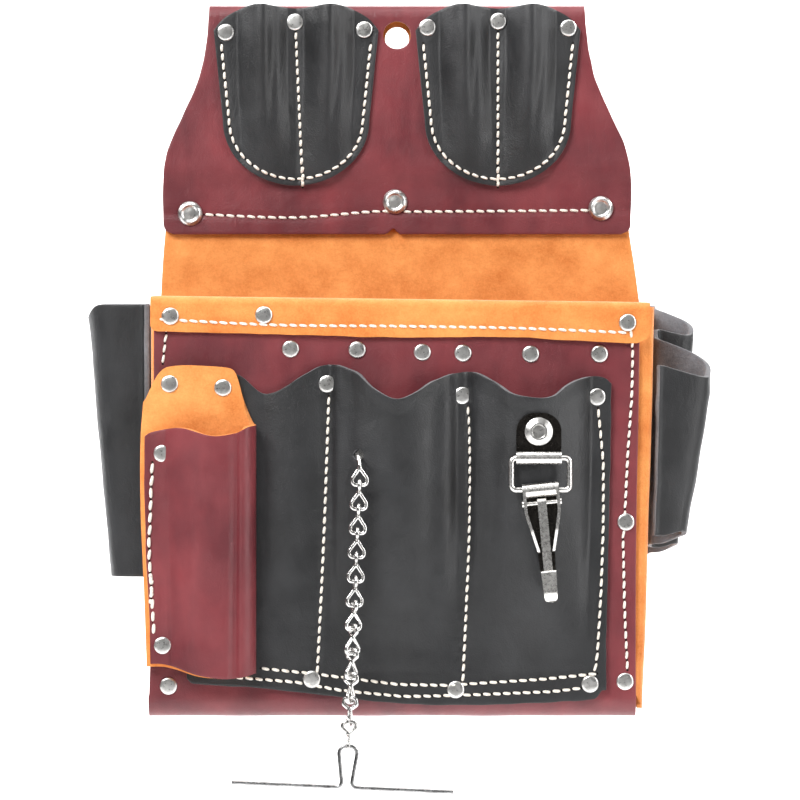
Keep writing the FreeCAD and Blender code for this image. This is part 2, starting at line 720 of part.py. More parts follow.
def clip_ring():
    """Make the rectangular ring of round wire."""
    half = ring_half_width
    points = [V(clip_centre, clip_plane, ring_top), V(clip_centre + half, clip_plane, ring_top),
              V(clip_centre + half, clip_plane, ring_bottom), V(clip_centre - half, clip_plane, ring_bottom),
              V(clip_centre - half, clip_plane, ring_top)]
    return round_bar(points, [0, 2.5, 2.5, 2.5, 2.5], ring_wire, closed=True)




def place_snap(shape):
    """Move a piece of the snap from the ring's lower bar's own frame to its place."""
    shape.rotate(V(0, 0, 0), V(0, 1, 0), snap_lean)
    shape.translate(V(clip_centre, clip_plane, ring_bottom))
    return shape


def snap_outline(inset, top, bottom):
    """Make the snap's tapering silhouette, drawn in by inset."""
    half, waist = snap_body_half - inset, snap_waist_half - inset
    shoulder = -11
    right = [(half, top), (half, shoulder), (waist, bottom)]
    left = [(-x, z) for x, z in reversed(right)]
    return outline_xz(right + left, [0, 12, 0, 0, 12, 0])


def snap_frame():
    """Make the snap's body: a barrel on the ring, a tapering tray with two long rails, and a hook."""
    half, back = snap_body_half, snap_shell
    barrel = cylinder((-half, 0, 0), (1, 0, 0), snap_shell, 2 * half)
    tray = slab(snap_outline(0, 0, snap_waist), -snap_rail_front, back)
    hollow = snap_outline(snap_sheet, 1, snap_waist - 1)
    tray = tray.cut(slab(hollow, -snap_rail_front - 1, back - snap_sheet))
    sides = prism_yz([(back, 0), (back, snap_waist), (-1.2, snap_waist), (-snap_rail_front, -20),
                      (-snap_rail_front, 0)], [0, 0, 1.5, 8, 0], -half, half)
    body = barrel.fuse(tray.common(sides))
    body = body.cut(cylinder((-half - 1, 0, 0), (1, 0, 0), snap_eye, 2 * half + 2))
    y, z = snap_pin_place
    body = body.cut(cylinder((-half - 1, y, z), (1, 0, 0), snap_pin_hole, 2 * half + 2))
    thick, lip, root, mouth = 2.4, snap_lip, snap_waist + 3, snap_waist - 9
    path = [(back, root), (back, snap_tip), (lip, snap_tip), (lip, mouth), (lip + thick, mouth),
            (lip + thick, snap_tip + thick), (back - thick, snap_tip + thick), (back - thick, root)]
    hook = prism_yz(path, [0, 5.5, 5.5, 1.1, 1.1, 3.1, 3.1, 0], -snap_waist_half, snap_waist_half)
    nose = outline_xz([(-snap_waist_half, snap_waist + 4), (snap_waist_half, snap_waist + 4),
                       (snap_waist_half, snap_waist), (snap_hook_half, snap_tip), (-snap_hook_half, snap_tip),
                       (-snap_waist_half, snap_waist)], [0, 0, 0, 3.0, 3.0, 0])
    return place_snap(body.fuse(hook.common(slab(nose, -12, back + 1))).removeSplitter())


def snap_lever():
    """Make the press lever: a rib on the pin whose lower end closes the hook's mouth."""
    y, z = snap_pin_place
    hub = cylinder((-lever_half, y, z), (1, 0, 0), 2.3, 2 * lever_half)
    arm = prism_yz([(y - 2.3, z), (y + 1.2, z), (y - 1.2, snap_waist), (-2.9, snap_waist - 12.4),
                    (-4.7, snap_waist - 12.4), (y - 3.4, snap_waist)], [0, 0, 4, 0.6, 0.6, 4],
                   -lever_half, lever_half)
    lever = hub.fuse(arm)
    lever = lever.cut(cylinder((-lever_half - 1, y, z), (1, 0, 0), snap_pin_hole, 2 * lever_half + 2))
    return place_snap(lever.removeSplitter())


def snap_pin():
    """Make the pin that the lever turns on, headed outside both cheeks."""
    y, z = snap_pin_place
    half = snap_body_half
    pin = cylinder((-half - 0.8, y, z), (1, 0, 0), 1.0, 2 * half + 1.6)
    for side in (-1, 1):
        pin = pin.fuse(cylinder((side * half, y, z), (side, 0, 0), 1.6, 0.8))
    return place_snap(pin.removeSplitter())


def snap_spring():
    """Make the leaf spring under the lever, fixed to the back plate."""
    face = snap_shell - snap_sheet
    high, low, half = -14.0, -23.0, 1.6
    outline = [(face, high), (face, low), (face - 0.5, low), (face - 0.9, -18.0), (face - 0.5, high)]
    leaf = prism_yz(outline, [0, 0, 0, 8, 0], -half, half)
    return place_snap(leaf)


# ---------------------------------------------------------------- the whole pouch

def leather_pieces():
    """Make every leather piece, with its rivet holes."""
    pieces = {
        "tunnel_panel": tunnel_panel(),
        "body_panel": body_panel(),
        "left_gusset": gusset(-1, left_wall),
        "right_gusset": gusset(1, right_wall),
        "mouth_binding": mouth_binding(),
        "inner_loop_strip": inner_loop_strip(),
        "front_pocket": front_pocket(),
        "left_top_pocket": top_pocket(-top_pocket_centre, tunnel_face),
        "right_top_pocket": top_pocket(top_pocket_centre, tunnel_face),
        "tool_sheath": tool_sheath(),
        "left_holder": left_holder(),
        "right_holder": right_holder(),
    }
    holes = shaft_holes()
    for name in pieces:
        pieces[name] = pieces[name].cut(holes)
    for name in ("right_gusset", "right_holder"):
        pieces[name] = pieces[name].cut(wall_holes())
    x, z = clip_rivet_place
    clip_hole = cylinder((x, clip_plane, z), (0, 1, 0), clip_rivet_shaft + shaft_clearance, 12)
    pieces["front_pocket"] = pieces["front_pocket"].cut(clip_hole)
    return pieces


def rivet_groups():
    """Make the groups of rivets, one node for each place on the pouch."""
    return {
        "tunnel_rivets": rivet_group(tunnel_rivet_places, big_head),
        "top_pocket_rivets": rivet_group(top_pocket_rivet_places, small_head),
        "mouth_rivets": rivet_group(mouth_rivet_places, small_head),
        "strip_rivets": rivet_group(strip_rivet_places, small_head),
        "front_pocket_rivets": rivet_group(front_pocket_rivet_places, small_head),
        "sheath_rivets": rivet_group(sheath_rivet_places, small_head),
        "side_seam_rivets": rivet_group(side_rivet_places, small_head),
        "holder_rivets": holder_rivets(),
    }


def hardware():
    """Make the clip, the chain and the tape bar."""
    pieces = {
        "clip_plate": clip_plate(),
        "clip_rivet": clip_rivet(),
        "clip_ring": clip_ring(),
        "snap_frame": snap_frame(),
        "snap_lever": snap_lever(),
        "snap_pin": snap_pin(),
        "snap_spring": snap_spring(),
        "chain_anchor": chain_anchor(),
        "chain_washer": chain_washer(),
        "tape_bar": tape_bar(),
    }
    pieces.update(chain_links())
    return pieces


def main():
    """Build every sub-part and write it out."""
    os.makedirs("parts", exist_ok=True)
    for group in (leather_pieces(), rivet_groups(), hardware()):
        for name, shape in group.items():
            save(name, shape)


main()
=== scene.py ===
"""Looks of the leather electrician's tool pouch: leather, thread, rivets, chain and clip.

Sizes are in millimetres in the pouch's own frame and become metres where a mesh is made. The
origin is the centre of the hang hole, +Z is up and the front faces -Y.
"""
import logging
import math
from collections.abc import Callable
from dataclasses import dataclass, field
from enum import Enum

import bmesh
import bpy
from mathutils import Matrix, Vector, noise


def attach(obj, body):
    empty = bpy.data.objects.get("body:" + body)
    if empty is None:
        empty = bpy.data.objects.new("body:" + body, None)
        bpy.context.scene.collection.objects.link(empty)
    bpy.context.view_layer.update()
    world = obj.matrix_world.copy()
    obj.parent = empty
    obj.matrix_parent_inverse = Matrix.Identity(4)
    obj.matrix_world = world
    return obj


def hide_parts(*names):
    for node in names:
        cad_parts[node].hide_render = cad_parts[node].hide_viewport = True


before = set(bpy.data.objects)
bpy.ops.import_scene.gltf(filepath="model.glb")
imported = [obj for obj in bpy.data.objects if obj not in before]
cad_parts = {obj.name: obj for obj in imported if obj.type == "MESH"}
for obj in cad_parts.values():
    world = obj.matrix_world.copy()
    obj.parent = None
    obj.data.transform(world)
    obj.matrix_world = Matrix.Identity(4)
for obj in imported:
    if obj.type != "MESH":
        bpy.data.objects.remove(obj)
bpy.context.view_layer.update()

log = logging.getLogger("pouch")
MM = 0.001
Surface = Callable[[float, float], Vector]
Depth = Callable[[float, float], float]
Colour = tuple[float, float, float]
FRONT = Vector((0, -1, 0))
PANEL_THICKNESS = 3.2
POCKET_THICKNESS = 2.8
TOP_POCKET_THICKNESS = 2.4
GUSSET_THICKNESS = 2.6
BINDING_THICKNESS = 2.5
STRIP_THICKNESS = 2.0


# ---------------------------------------------------------------- small sums

def blend_between(low: float, high: float, share: float) -> float:
    """Return the value a share of the way from low to high."""
    return low + (high - low) * share


def smooth_step(low: float, high: float, value: float) -> float:
    """Return 0 below low, 1 above high and an S curve between them."""
    share = min(1.0, max(0.0, (value - low) / (high - low)))
    return share * share * (3 - 2 * share)


def bump(distance: float, width: float) -> float:
    """Return a bell curve of height 1 with the given half width."""
    return math.exp(-(distance / width) ** 2)


def waves(x: float, y: float, z: float, size: float, seed: float = 0.0) -> float:
    """Return smooth noise between about -1 and 1 whose lumps are size millimetres across."""
    return noise.noise(Vector((x / size + seed, y / size - seed, z / size + 2 * seed)))


def through(points: list[tuple[float, float]], x: float) -> float:
    """Return the height at x of a smooth line through points given in order of x."""
    if x <= points[0][0]:
        return points[0][1]
    if x >= points[-1][0]:
        return points[-1][1]
    index = next(i for i in range(1, len(points)) if x <= points[i][0])
    (x1, y1), (x2, y2) = points[index - 1], points[index]
    before = points[max(index - 2, 0)]
    after = points[min(index + 1, len(points) - 1)]
    slope_1 = (y2 - before[1]) / (x2 - before[0])
    slope_2 = (after[1] - y1) / (after[0] - x1)
    t = (x - x1) / (x2 - x1)
    span = x2 - x1
    return ((2 * t**3 - 3 * t**2 + 1) * y1 + (t**3 - 2 * t**2 + t) * span * slope_1
            + (-2 * t**3 + 3 * t**2) * y2 + (t**3 - t**2) * span * slope_2)


def along(path: list[Vector], share: float) -> tuple[Vector, Vector]:
    """Return the point and the direction a share of the way along a line of points."""
    lengths = [(b - a).length for a, b in zip(path, path[1:])]
    left = share * sum(lengths)
    for a, b, length in zip(path, path[1:], lengths):
        if left <= length or b is path[-1]:
            return a.lerp(b, min(1.0, left / length)), (b - a).normalized()
        left -= length
    return path[-1], (path[-1] - path[-2]).normalized()


def arc(centre: tuple[float, float], radius: float, start: float, end: float,
        steps: int = 10) -> list[Vector]:
    """Return points of an arc in a plane, from one angle to another in degrees."""
    angles = [math.radians(blend_between(start, end, i / steps)) for i in range(steps + 1)]
    return [Vector((centre[0] + radius * math.cos(a), centre[1] + radius * math.sin(a))) for a in angles]


def softened(path: list[Vector], passes: int = 3) -> list[Vector]:
    """Round every corner of a line of points by cutting it again and again."""
    for _ in range(passes):
        cut = [path[0]]
        for a, b in zip(path, path[1:]):
            cut += [a.lerp(b, 0.25), a.lerp(b, 0.75)]
        path = cut + [path[-1]]
    return path


# ---------------------------------------------------------------- finishes

class Grain(Enum):
    """How the outer side of a leather is finished."""

    SMOOTH = "smooth"
    SUEDE = "suede"


@dataclass(frozen=True)
class LeatherFinish:
    """Colours and surface of one side of a leather."""

    name: str
    slot: str
    light: Colour
    dark: Colour
    grain: Grain = Grain.SMOOTH
    roughness: tuple[float, float] = (0.36, 0.52)
    relief: float = 0.35
    coat: float = 0.0
    sheen: float = 0.0
    specular: float = 0.5


@dataclass(frozen=True)
class MetalFinish:
    """Colour and wear of a plated metal, and the painted shade that some finishes put on their parts lying
    further back.
    """

    name: str
    slot: str
    colour: Colour
    tarnish: Colour
    roughness: tuple[float, float] = (0.12, 0.28)
    relief: float = 0.05
    # Painted shade: a dark colour standing for shade on parts lying further back than the depths below, given
    # in metres of Y.
    painted_shade: Colour | None = None
    painted_shade_depths: tuple[float, float] = (-0.0925, -0.0908)


@dataclass(frozen=True)
class ThreadFinish:
    """Colour of the waxed sewing thread."""

    name: str = "waxed_thread"
    light: Colour = (0.93, 0.89, 0.82)
    dark: Colour = (0.74, 0.66, 0.56)


BURGUNDY = LeatherFinish("burgundy_grain", "burgundy_leather", (0.185, 0.028, 0.034), (0.098, 0.012, 0.017),
                         roughness=(0.38, 0.54), relief=0.28, coat=0.06, specular=0.5)
BLACK = LeatherFinish("black_grain", "black_leather", (0.016, 0.0164, 0.018), (0.0045, 0.0045, 0.005),
                      roughness=(0.38, 0.54), relief=0.36, coat=0.07, specular=0.55)
TAN = LeatherFinish("tan_suede", "tan_leather", (0.80, 0.315, 0.085), (0.56, 0.15, 0.026), Grain.SUEDE,
                    roughness=(0.82, 0.95), relief=0.55, sheen=0.25, specular=0.2)
GREY_FLESH = LeatherFinish("grey_flesh", "black_leather", (0.23, 0.24, 0.26), (0.10, 0.105, 0.115),
                           Grain.SUEDE, roughness=(0.85, 0.97), relief=0.6, sheen=0.2, specular=0.15)
TAN_FLESH = LeatherFinish("tan_flesh", "burgundy_leather", (0.84, 0.34, 0.10), (0.56, 0.17, 0.035),
                          Grain.SUEDE, roughness=(0.85, 0.96), relief=0.45, sheen=0.2, specular=0.2)
BLACK_EDGE = LeatherFinish("black_cut_edge", "black_leather", (0.20, 0.20, 0.21), (0.06, 0.06, 0.065),
                           Grain.SUEDE, roughness=(0.6, 0.85), relief=0.5)
BURGUNDY_EDGE = LeatherFinish("burgundy_cut_edge", "burgundy_leather", (0.46, 0.17, 0.10),
                              (0.20, 0.055, 0.045), Grain.SUEDE, roughness=(0.6, 0.85), relief=0.5)
TAN_EDGE = LeatherFinish("tan_cut_edge", "tan_leather", (0.80, 0.32, 0.09), (0.50, 0.15, 0.03), Grain.SUEDE,
                         roughness=(0.8, 0.95), relief=0.7)
NICKEL = MetalFinish("rivet_nickel_plate", "rivet_nickel", (0.80, 0.79, 0.77), (0.52, 0.51, 0.49),
                     roughness=(0.24, 0.38))
# The clip and snap plating gets painted shade, nearly black, on its parts lying further back, such as the
# snap's tray between its rails.
CLIP = MetalFinish("clip_nickel_plate", "clip_nickel", (0.95, 0.93, 0.90), (0.78, 0.76, 0.73),
                   roughness=(0.22, 0.34), painted_shade=(0.055, 0.05, 0.045))
CHAIN = MetalFinish("chain_plate", "chain_steel", (0.83, 0.82, 0.80), (0.48, 0.47, 0.46))
BAR = MetalFinish("bar_wire", "bar_steel", (0.34, 0.34, 0.34), (0.14, 0.14, 0.14), roughness=(0.18, 0.34))
THREAD = ThreadFinish()


class Nodes:
    """A material's node tree, with short calls that add and link nodes."""

    def __init__(self, name: str) -> None:
        """Start an empty material with its output and its shader."""
        self.material = bpy.data.materials.new(name)
        self.material.use_nodes = True
        self.tree = self.material.node_tree
        self.shader = self.tree.nodes["Principled BSDF"]
        self.place = self.add("ShaderNodeTexCoord").outputs["Object"]

    def add(self, kind: str, **values: object) -> bpy.types.Node:
        """Add a node and set its plain properties."""
        node = self.tree.nodes.new(kind)
        for key, value in values.items():
            setattr(node, key, value)
        return node

    def link(self, source: bpy.types.NodeSocket, target: bpy.types.NodeSocket) -> None:
        """Link two sockets."""
        self.tree.links.new(source, target)

    def noise(self, per_metre: float, detail: float = 3.0, rough: float = 0.55, stretch: Vector | None = None,
              distortion: float = 0.0) -> bpy.types.NodeSocket:
        """Add a noise pattern with so many lumps to a metre, stretched along the axes if asked."""
        node = self.add("ShaderNodeTexNoise")
        node.inputs["Scale"].default_value = per_metre
        node.inputs["Detail"].default_value = detail
        node.inputs["Roughness"].default_value = rough
        node.inputs["Distortion"].default_value = distortion
        place = self.place
        if stretch is not None:
            mapping = self.add("ShaderNodeMapping")
            mapping.inputs["Scale"].default_value = stretch
            self.link(place, mapping.inputs["Vector"])
            place = mapping.outputs["Vector"]
        self.link(place, node.inputs["Vector"])
        return node.outputs["Fac"]

    def cells(self, per_metre: float, feature: str = "F1") -> bpy.types.NodeSocket:
        """Add a cell pattern and return the distance from each cell's middle."""
        node = self.add("ShaderNodeTexVoronoi", feature=feature)
        node.inputs["Scale"].default_value = per_metre
        self.link(self.place, node.inputs["Vector"])
        return node.outputs["Distance"]

    def spread(self, source: bpy.types.NodeSocket, low: float, high: float, to_low: float,
               to_high: float) -> bpy.types.NodeSocket:
        """Map a range of values onto another range, clamped."""
        node = self.add("ShaderNodeMapRange")
        for key, value in (("From Min", low), ("From Max", high), ("To Min", to_low), ("To Max", to_high)):
            node.inputs[key].default_value = value
        self.link(source, node.inputs["Value"])
        return node.outputs["Result"]

    def mix(self, share: bpy.types.NodeSocket, first: object, second: object) -> bpy.types.NodeSocket:
        """Mix two colours, each a socket or a tuple."""
        node = self.add("ShaderNodeMix", data_type="RGBA")
        self.link(share, node.inputs["Factor"])
        for socket, colour in ((node.inputs[6], first), (node.inputs[7], second)):
            if isinstance(colour, tuple):
                socket.default_value = (*colour, 1.0)
            else:
                self.link(colour, socket)
        return node.outputs[2]

    def sum(self, first: bpy.types.NodeSocket, second: bpy.types.NodeSocket,
            weight: float) -> bpy.types.NodeSocket:
        """Add a weighted second value to the first."""
        node = self.add("ShaderNodeMath", operation="MULTIPLY_ADD")
        self.link(second, node.inputs[0])
        node.inputs[1].default_value = weight
        self.link(first, node.inputs[2])
        return node.outputs[0]

    def relief(self, height: bpy.types.NodeSocket, strength: float, depth: float) -> None:
        """Raise the surface by a height pattern, depth in metres."""
        node = self.add("ShaderNodeBump")
        node.inputs["Strength"].default_value = strength
        node.inputs["Distance"].default_value = depth
        self.link(height, node.inputs["Height"])
        self.link(node.outputs["Normal"], self.shader.inputs["Normal"])

    def set(self, **values: float) -> None:
        """Set constant values on the shader, with underscores for the spaces in their names."""
        for key, value in values.items():
            self.shader.inputs[key.replace("_", " ")].default_value = value


def smooth_leather(finish: LeatherFinish) -> bpy.types.Material:
    """Make the grain side of a leather: pores, fine creases, soft mottling and light scuffs."""
    nodes = Nodes(finish.name)
    mottle = nodes.noise(22, 4, 0.6)
    streak = nodes.noise(60, 3, 0.5, Vector((1.0, 1.0, 0.35)), 0.6)
    share = nodes.spread(nodes.sum(mottle, streak, 0.5), 0.55, 0.95, 0.0, 1.0)
    base = nodes.mix(share, finish.dark, finish.light)
    scuff = nodes.spread(nodes.noise(420, 6, 0.7, Vector((1.0, 1.0, 0.22)), 1.2), 0.66, 0.80, 0.0, 0.30)
    paler_tone = tuple(min(1.0, c * 1.7 + 0.02) for c in finish.light)
    base = nodes.mix(scuff, base, paler_tone)
    nodes.link(base, nodes.shader.inputs["Base Color"])
    rough = nodes.spread(nodes.noise(75, 5, 0.65), 0.3, 0.7, *finish.roughness)
    nodes.link(rough, nodes.shader.inputs["Roughness"])
    creases = nodes.noise(150, 4, 0.6, Vector((1.0, 1.0, 0.5)), 0.8)
    pores = nodes.cells(1500)
    grain = nodes.noise(1100, 3, 0.6)
    height = nodes.sum(nodes.sum(creases, grain, 0.30), pores, 0.18)
    nodes.relief(height, finish.relief, 0.0011)
    nodes.set(Specular_IOR_Level=finish.specular, Coat_Weight=finish.coat, Coat_Roughness=0.35)
    return nodes.material


def suede_leather(finish: LeatherFinish) -> bpy.types.Material:
    """Make the flesh side or a cut edge of a leather: a short nap with fibres and soft blotches."""
    nodes = Nodes(finish.name)
    blotch = nodes.noise(48, 5, 0.65)
    nap = nodes.noise(900, 4, 0.7)
    share = nodes.spread(nodes.sum(blotch, nap, 0.45), 0.45, 0.95, 0.0, 1.0)
    nodes.link(nodes.mix(share, finish.dark, finish.light), nodes.shader.inputs["Base Color"])
    nodes.link(nodes.spread(nap, 0.3, 0.7, *finish.roughness), nodes.shader.inputs["Roughness"])
    fibres = nodes.noise(1600, 5, 0.7, Vector((1.0, 1.0, 0.6)), 1.5)
    lumps = nodes.noise(260, 4, 0.6)
    nodes.relief(nodes.sum(lumps, fibres, 0.5), finish.relief, 0.0014)
    nodes.set(Specular_IOR_Level=finish.specular, Sheen_Weight=finish.sheen, Sheen_Roughness=0.5)
    return nodes.material


def plated_metal(finish: MetalFinish) -> bpy.types.Material:
    """Make a bright plated metal with faint tarnish and rubbed patches, and painted shade further back where
    the finish gives one.
    """
    nodes = Nodes(finish.name)
    patches = nodes.noise(190, 5, 0.6)
    share = nodes.spread(patches, 0.30, 0.62, 0.0, 1.0)
    plate = nodes.mix(share, finish.tarnish, finish.colour)
    # Painted shade: parts lying further back than the finish's depths turn to its dark shade colour.
    if finish.painted_shade:
        axes = nodes.add("ShaderNodeSeparateXYZ")
        nodes.link(nodes.place, axes.inputs[0])
        deep = nodes.spread(axes.outputs["Y"], *finish.painted_shade_depths, 0.0, 1.0)
        plate = nodes.mix(deep, plate, finish.painted_shade)
    nodes.link(plate, nodes.shader.inputs["Base Color"])
    rough = nodes.spread(nodes.noise(600, 5, 0.7), 0.3, 0.7, *finish.roughness)
    nodes.link(rough, nodes.shader.inputs["Roughness"])
    nodes.relief(nodes.noise(750, 3, 0.5), finish.relief, 0.0004)
    nodes.set(Metallic=1.0)
    return nodes.material


def waxed_thread(finish: ThreadFinish) -> bpy.types.Material:
    """Make the sewing thread: off white, with the twist of its strands."""
    nodes = Nodes(finish.name)
    share = nodes.spread(nodes.noise(1300, 3, 0.6), 0.35, 0.65, 0.0, 1.0)
    nodes.link(nodes.mix(share, finish.dark, finish.light), nodes.shader.inputs["Base Color"])
    strands = nodes.add("ShaderNodeTexWave", wave_type="BANDS", bands_direction="DIAGONAL")
    strands.inputs["Scale"].default_value = 620
    nodes.link(nodes.place, strands.inputs["Vector"])
    nodes.relief(strands.outputs["Fac"], 0.5, 0.0004)
    nodes.set(Roughness=0.62, Specular_IOR_Level=0.35)
    return nodes.material


def needle_hole_shade() -> bpy.types.Material:
    """Make the painted shade of a hole that the needle left: a dark ring whose tone varies at random."""
    nodes = Nodes("needle_hole_shade")
    share = nodes.spread(nodes.noise(700, 2, 0.5), 0.35, 0.65, 0.0, 1.0)
    # Both tones are painted shade of the hole, near black.
    dark, paler_tone = (0.004, 0.003, 0.003), (0.02, 0.014, 0.012)
    nodes.link(nodes.mix(share, dark, paler_tone), nodes.shader.inputs["Base Color"])
    nodes.set(Roughness=0.9, Specular_IOR_Level=0.1)
    return nodes.material


class Finishes:
    """Every material of the pouch, made once."""

    def __init__(self) -> None:
        """Make the materials."""
        makers = {Grain.SMOOTH: smooth_leather, Grain.SUEDE: suede_leather}
        leathers = (BURGUNDY, BLACK, TAN, GREY_FLESH, TAN_FLESH, BLACK_EDGE, BURGUNDY_EDGE, TAN_EDGE)
        self.made = {finish.name: makers[finish.grain](finish) for finish in leathers}
        self.made.update({finish.name: plated_metal(finish) for finish in (NICKEL, CLIP, CHAIN, BAR)})
        self.made[THREAD.name] = waxed_thread(THREAD)
        self.made["needle_hole_shade"] = needle_hole_shade()

    def of(self, *finishes: LeatherFinish | MetalFinish | ThreadFinish) -> list[bpy.types.Material]:
        """Return the materials of the given finishes, in order."""
        return [self.made[finish.name] for finish in finishes]


# ---------------------------------------------------------------- building pieces

def add_piece(name: str, shape: bmesh.types.BMesh, materials: list[bpy.types.Material], slot: str,
              body: str = "pouch", *nodes: str) -> bpy.types.Object:
    """Turn a bmesh into a finished piece that rides on a body.

    Args:
        name: The piece's name.
        shape: The mesh, in millimetres; it is freed.
        materials: The piece's materials, in the order of its faces' indices.
        slot: The record's material slot whose finish it has; not used.
        body: The body it rides on.
        nodes: The CAD nodes it stands for.

    Returns:
        The new object.
    """
    bmesh.ops.scale(shape, vec=(MM, MM, MM), verts=shape.verts)
    mesh = bpy.data.meshes.new(name)
    shape.to_mesh(mesh)
    shape.free()
    mesh.shade_smooth()
    for material in materials:
        mesh.materials.append(material)
    piece = bpy.data.objects.new(name, mesh)
    bpy.context.scene.collection.objects.link(piece)
    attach(piece, body)
    if nodes:
        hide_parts(*nodes)
    log.info("%s: %d faces on %s", name, len(mesh.polygons), body)
    return piece


def sheet(surface: Surface, columns: int, rows: int) -> bmesh.types.BMesh:
    """Lay a grid over a surface given for u and v from 0 to 1."""
    shape = bmesh.new()
    bmesh.ops.create_grid(shape, x_segments=columns, y_segments=rows, size=0.5)
    for vertex in shape.verts:
        vertex.co = surface(vertex.co.x + 0.5, vertex.co.y + 0.5)
    return shape


def face_towards(shape: bmesh.types.BMesh, direction: Vector, where: Vector) -> None:
    """Turn a sheet over if its face nearest to a place looks away from a direction."""
    shape.normal_update()
    nearest = min(shape.faces, key=lambda face: (face.calc_center_median() - where).length_squared)
    if nearest.normal.dot(direction) < 0:
        bmesh.ops.reverse_faces(shape, faces=shape.faces)
        shape.normal_update()


def open_hole(shape: bmesh.types.BMesh, centre: Vector, radius: float, axis: int = 1) -> None:
    """Cut a round hole through a sheet and true its rim to the circle."""
    def flat(point: Vector) -> Vector:
        """Return a point's offset across the hole, far off for a point that isn't on this leaf."""
        offset = point - centre
        near = abs(offset[axis]) < 9.0
        offset[axis] = 0
        return offset if near else offset + Vector((1000, 0, 0))

    inside = [f for f in shape.faces if flat(f.calc_center_median()).length < radius]
    bmesh.ops.delete(shape, geom=inside, context="FACES")
    for edge in shape.edges:
        if not edge.is_boundary:
            continue
        for vertex in edge.verts:
            offset = flat(vertex.co)
            if 0 < offset.length < radius * 1.7:
                vertex.co += offset * (radius / offset.length - 1)


@dataclass
class Leather:
    """Finish of a leather piece: its thickness and the materials of its sides and its edge."""

    thickness: float
    grain: LeatherFinish
    flesh: LeatherFinish
    edge: LeatherFinish
    rounding: float = 0.45

    def cover(self, piece: bpy.types.Object) -> bpy.types.Object:
        """Give a sheet its thickness behind the grain side and round its cut edge."""
        wall = piece.modifiers.new("thickness", "SOLIDIFY")
        wall.thickness = self.thickness * MM
        wall.offset = -1
        wall.use_even_offset = False
        wall.material_offset = 1
        wall.material_offset_rim = 2
        edge = piece.modifiers.new("edge", "BEVEL")
        edge.width = self.rounding * MM
        edge.segments = 2
        edge.limit_method = "ANGLE"
        edge.angle_limit = math.radians(55)
        return piece


PANEL = Leather(PANEL_THICKNESS, BURGUNDY, TAN_FLESH, BURGUNDY_EDGE)
SHEATH_LEATHER = Leather(POCKET_THICKNESS, BURGUNDY, TAN_FLESH, TAN_EDGE)
POCKET = Leather(POCKET_THICKNESS, BLACK, GREY_FLESH, BLACK_EDGE)
TOP_LEATHER = Leather(TOP_POCKET_THICKNESS, BLACK, GREY_FLESH, BLACK_EDGE)
GUSSET = Leather(GUSSET_THICKNESS, TAN, TAN, TAN_EDGE, 0.6)
BINDING = Leather(BINDING_THICKNESS, TAN, TAN, TAN_EDGE, 0.6)
STRIP = Leather(STRIP_THICKNESS, TAN, TAN, TAN_EDGE)


@dataclass
class LeatherMaker:
    """Base of every leather piece: knows the finishes and makes covered sheets."""

    finishes: Finishes

    def make(self, name: str, leather: Leather, surface: Surface, grid: tuple[int, int], facing: Vector,
             where: Vector, holes: list[tuple[Vector, float]] | None = None, *nodes: str) -> bpy.types.Object:
        """Make one leather piece from a surface.

        Args:
            name: The piece's name.
            leather: Its thickness and finishes.
            surface: The grain side, for u and v from 0 to 1.
            grid: Columns and rows.
            facing: The direction that the grain side faces near a place.
            where: That place.
            holes: Round holes through the sheet.
            nodes: The CAD nodes it stands for.

        Returns:
            The finished piece.
        """
        shape = sheet(surface, *grid)
        face_towards(shape, facing, where)
        for centre, radius in holes or []:
            open_hole(shape, centre, radius)
        materials = self.finishes.of(leather.grain, leather.flesh, leather.edge)
        return leather.cover(add_piece(name, shape, materials, leather.grain.slot, "pouch", *nodes))


def wall_lean(side: int, z: float) -> float:
    """Return how far out a side of the bag leans at a height; the right one leans in towards its foot."""
    return through([(-345, -4.6), (-290, -2.6), (-210, 0.2), (-136, 1.6)], z) if side > 0 else 0.0


# ---------------------------------------------------------------- belt tunnel and bag

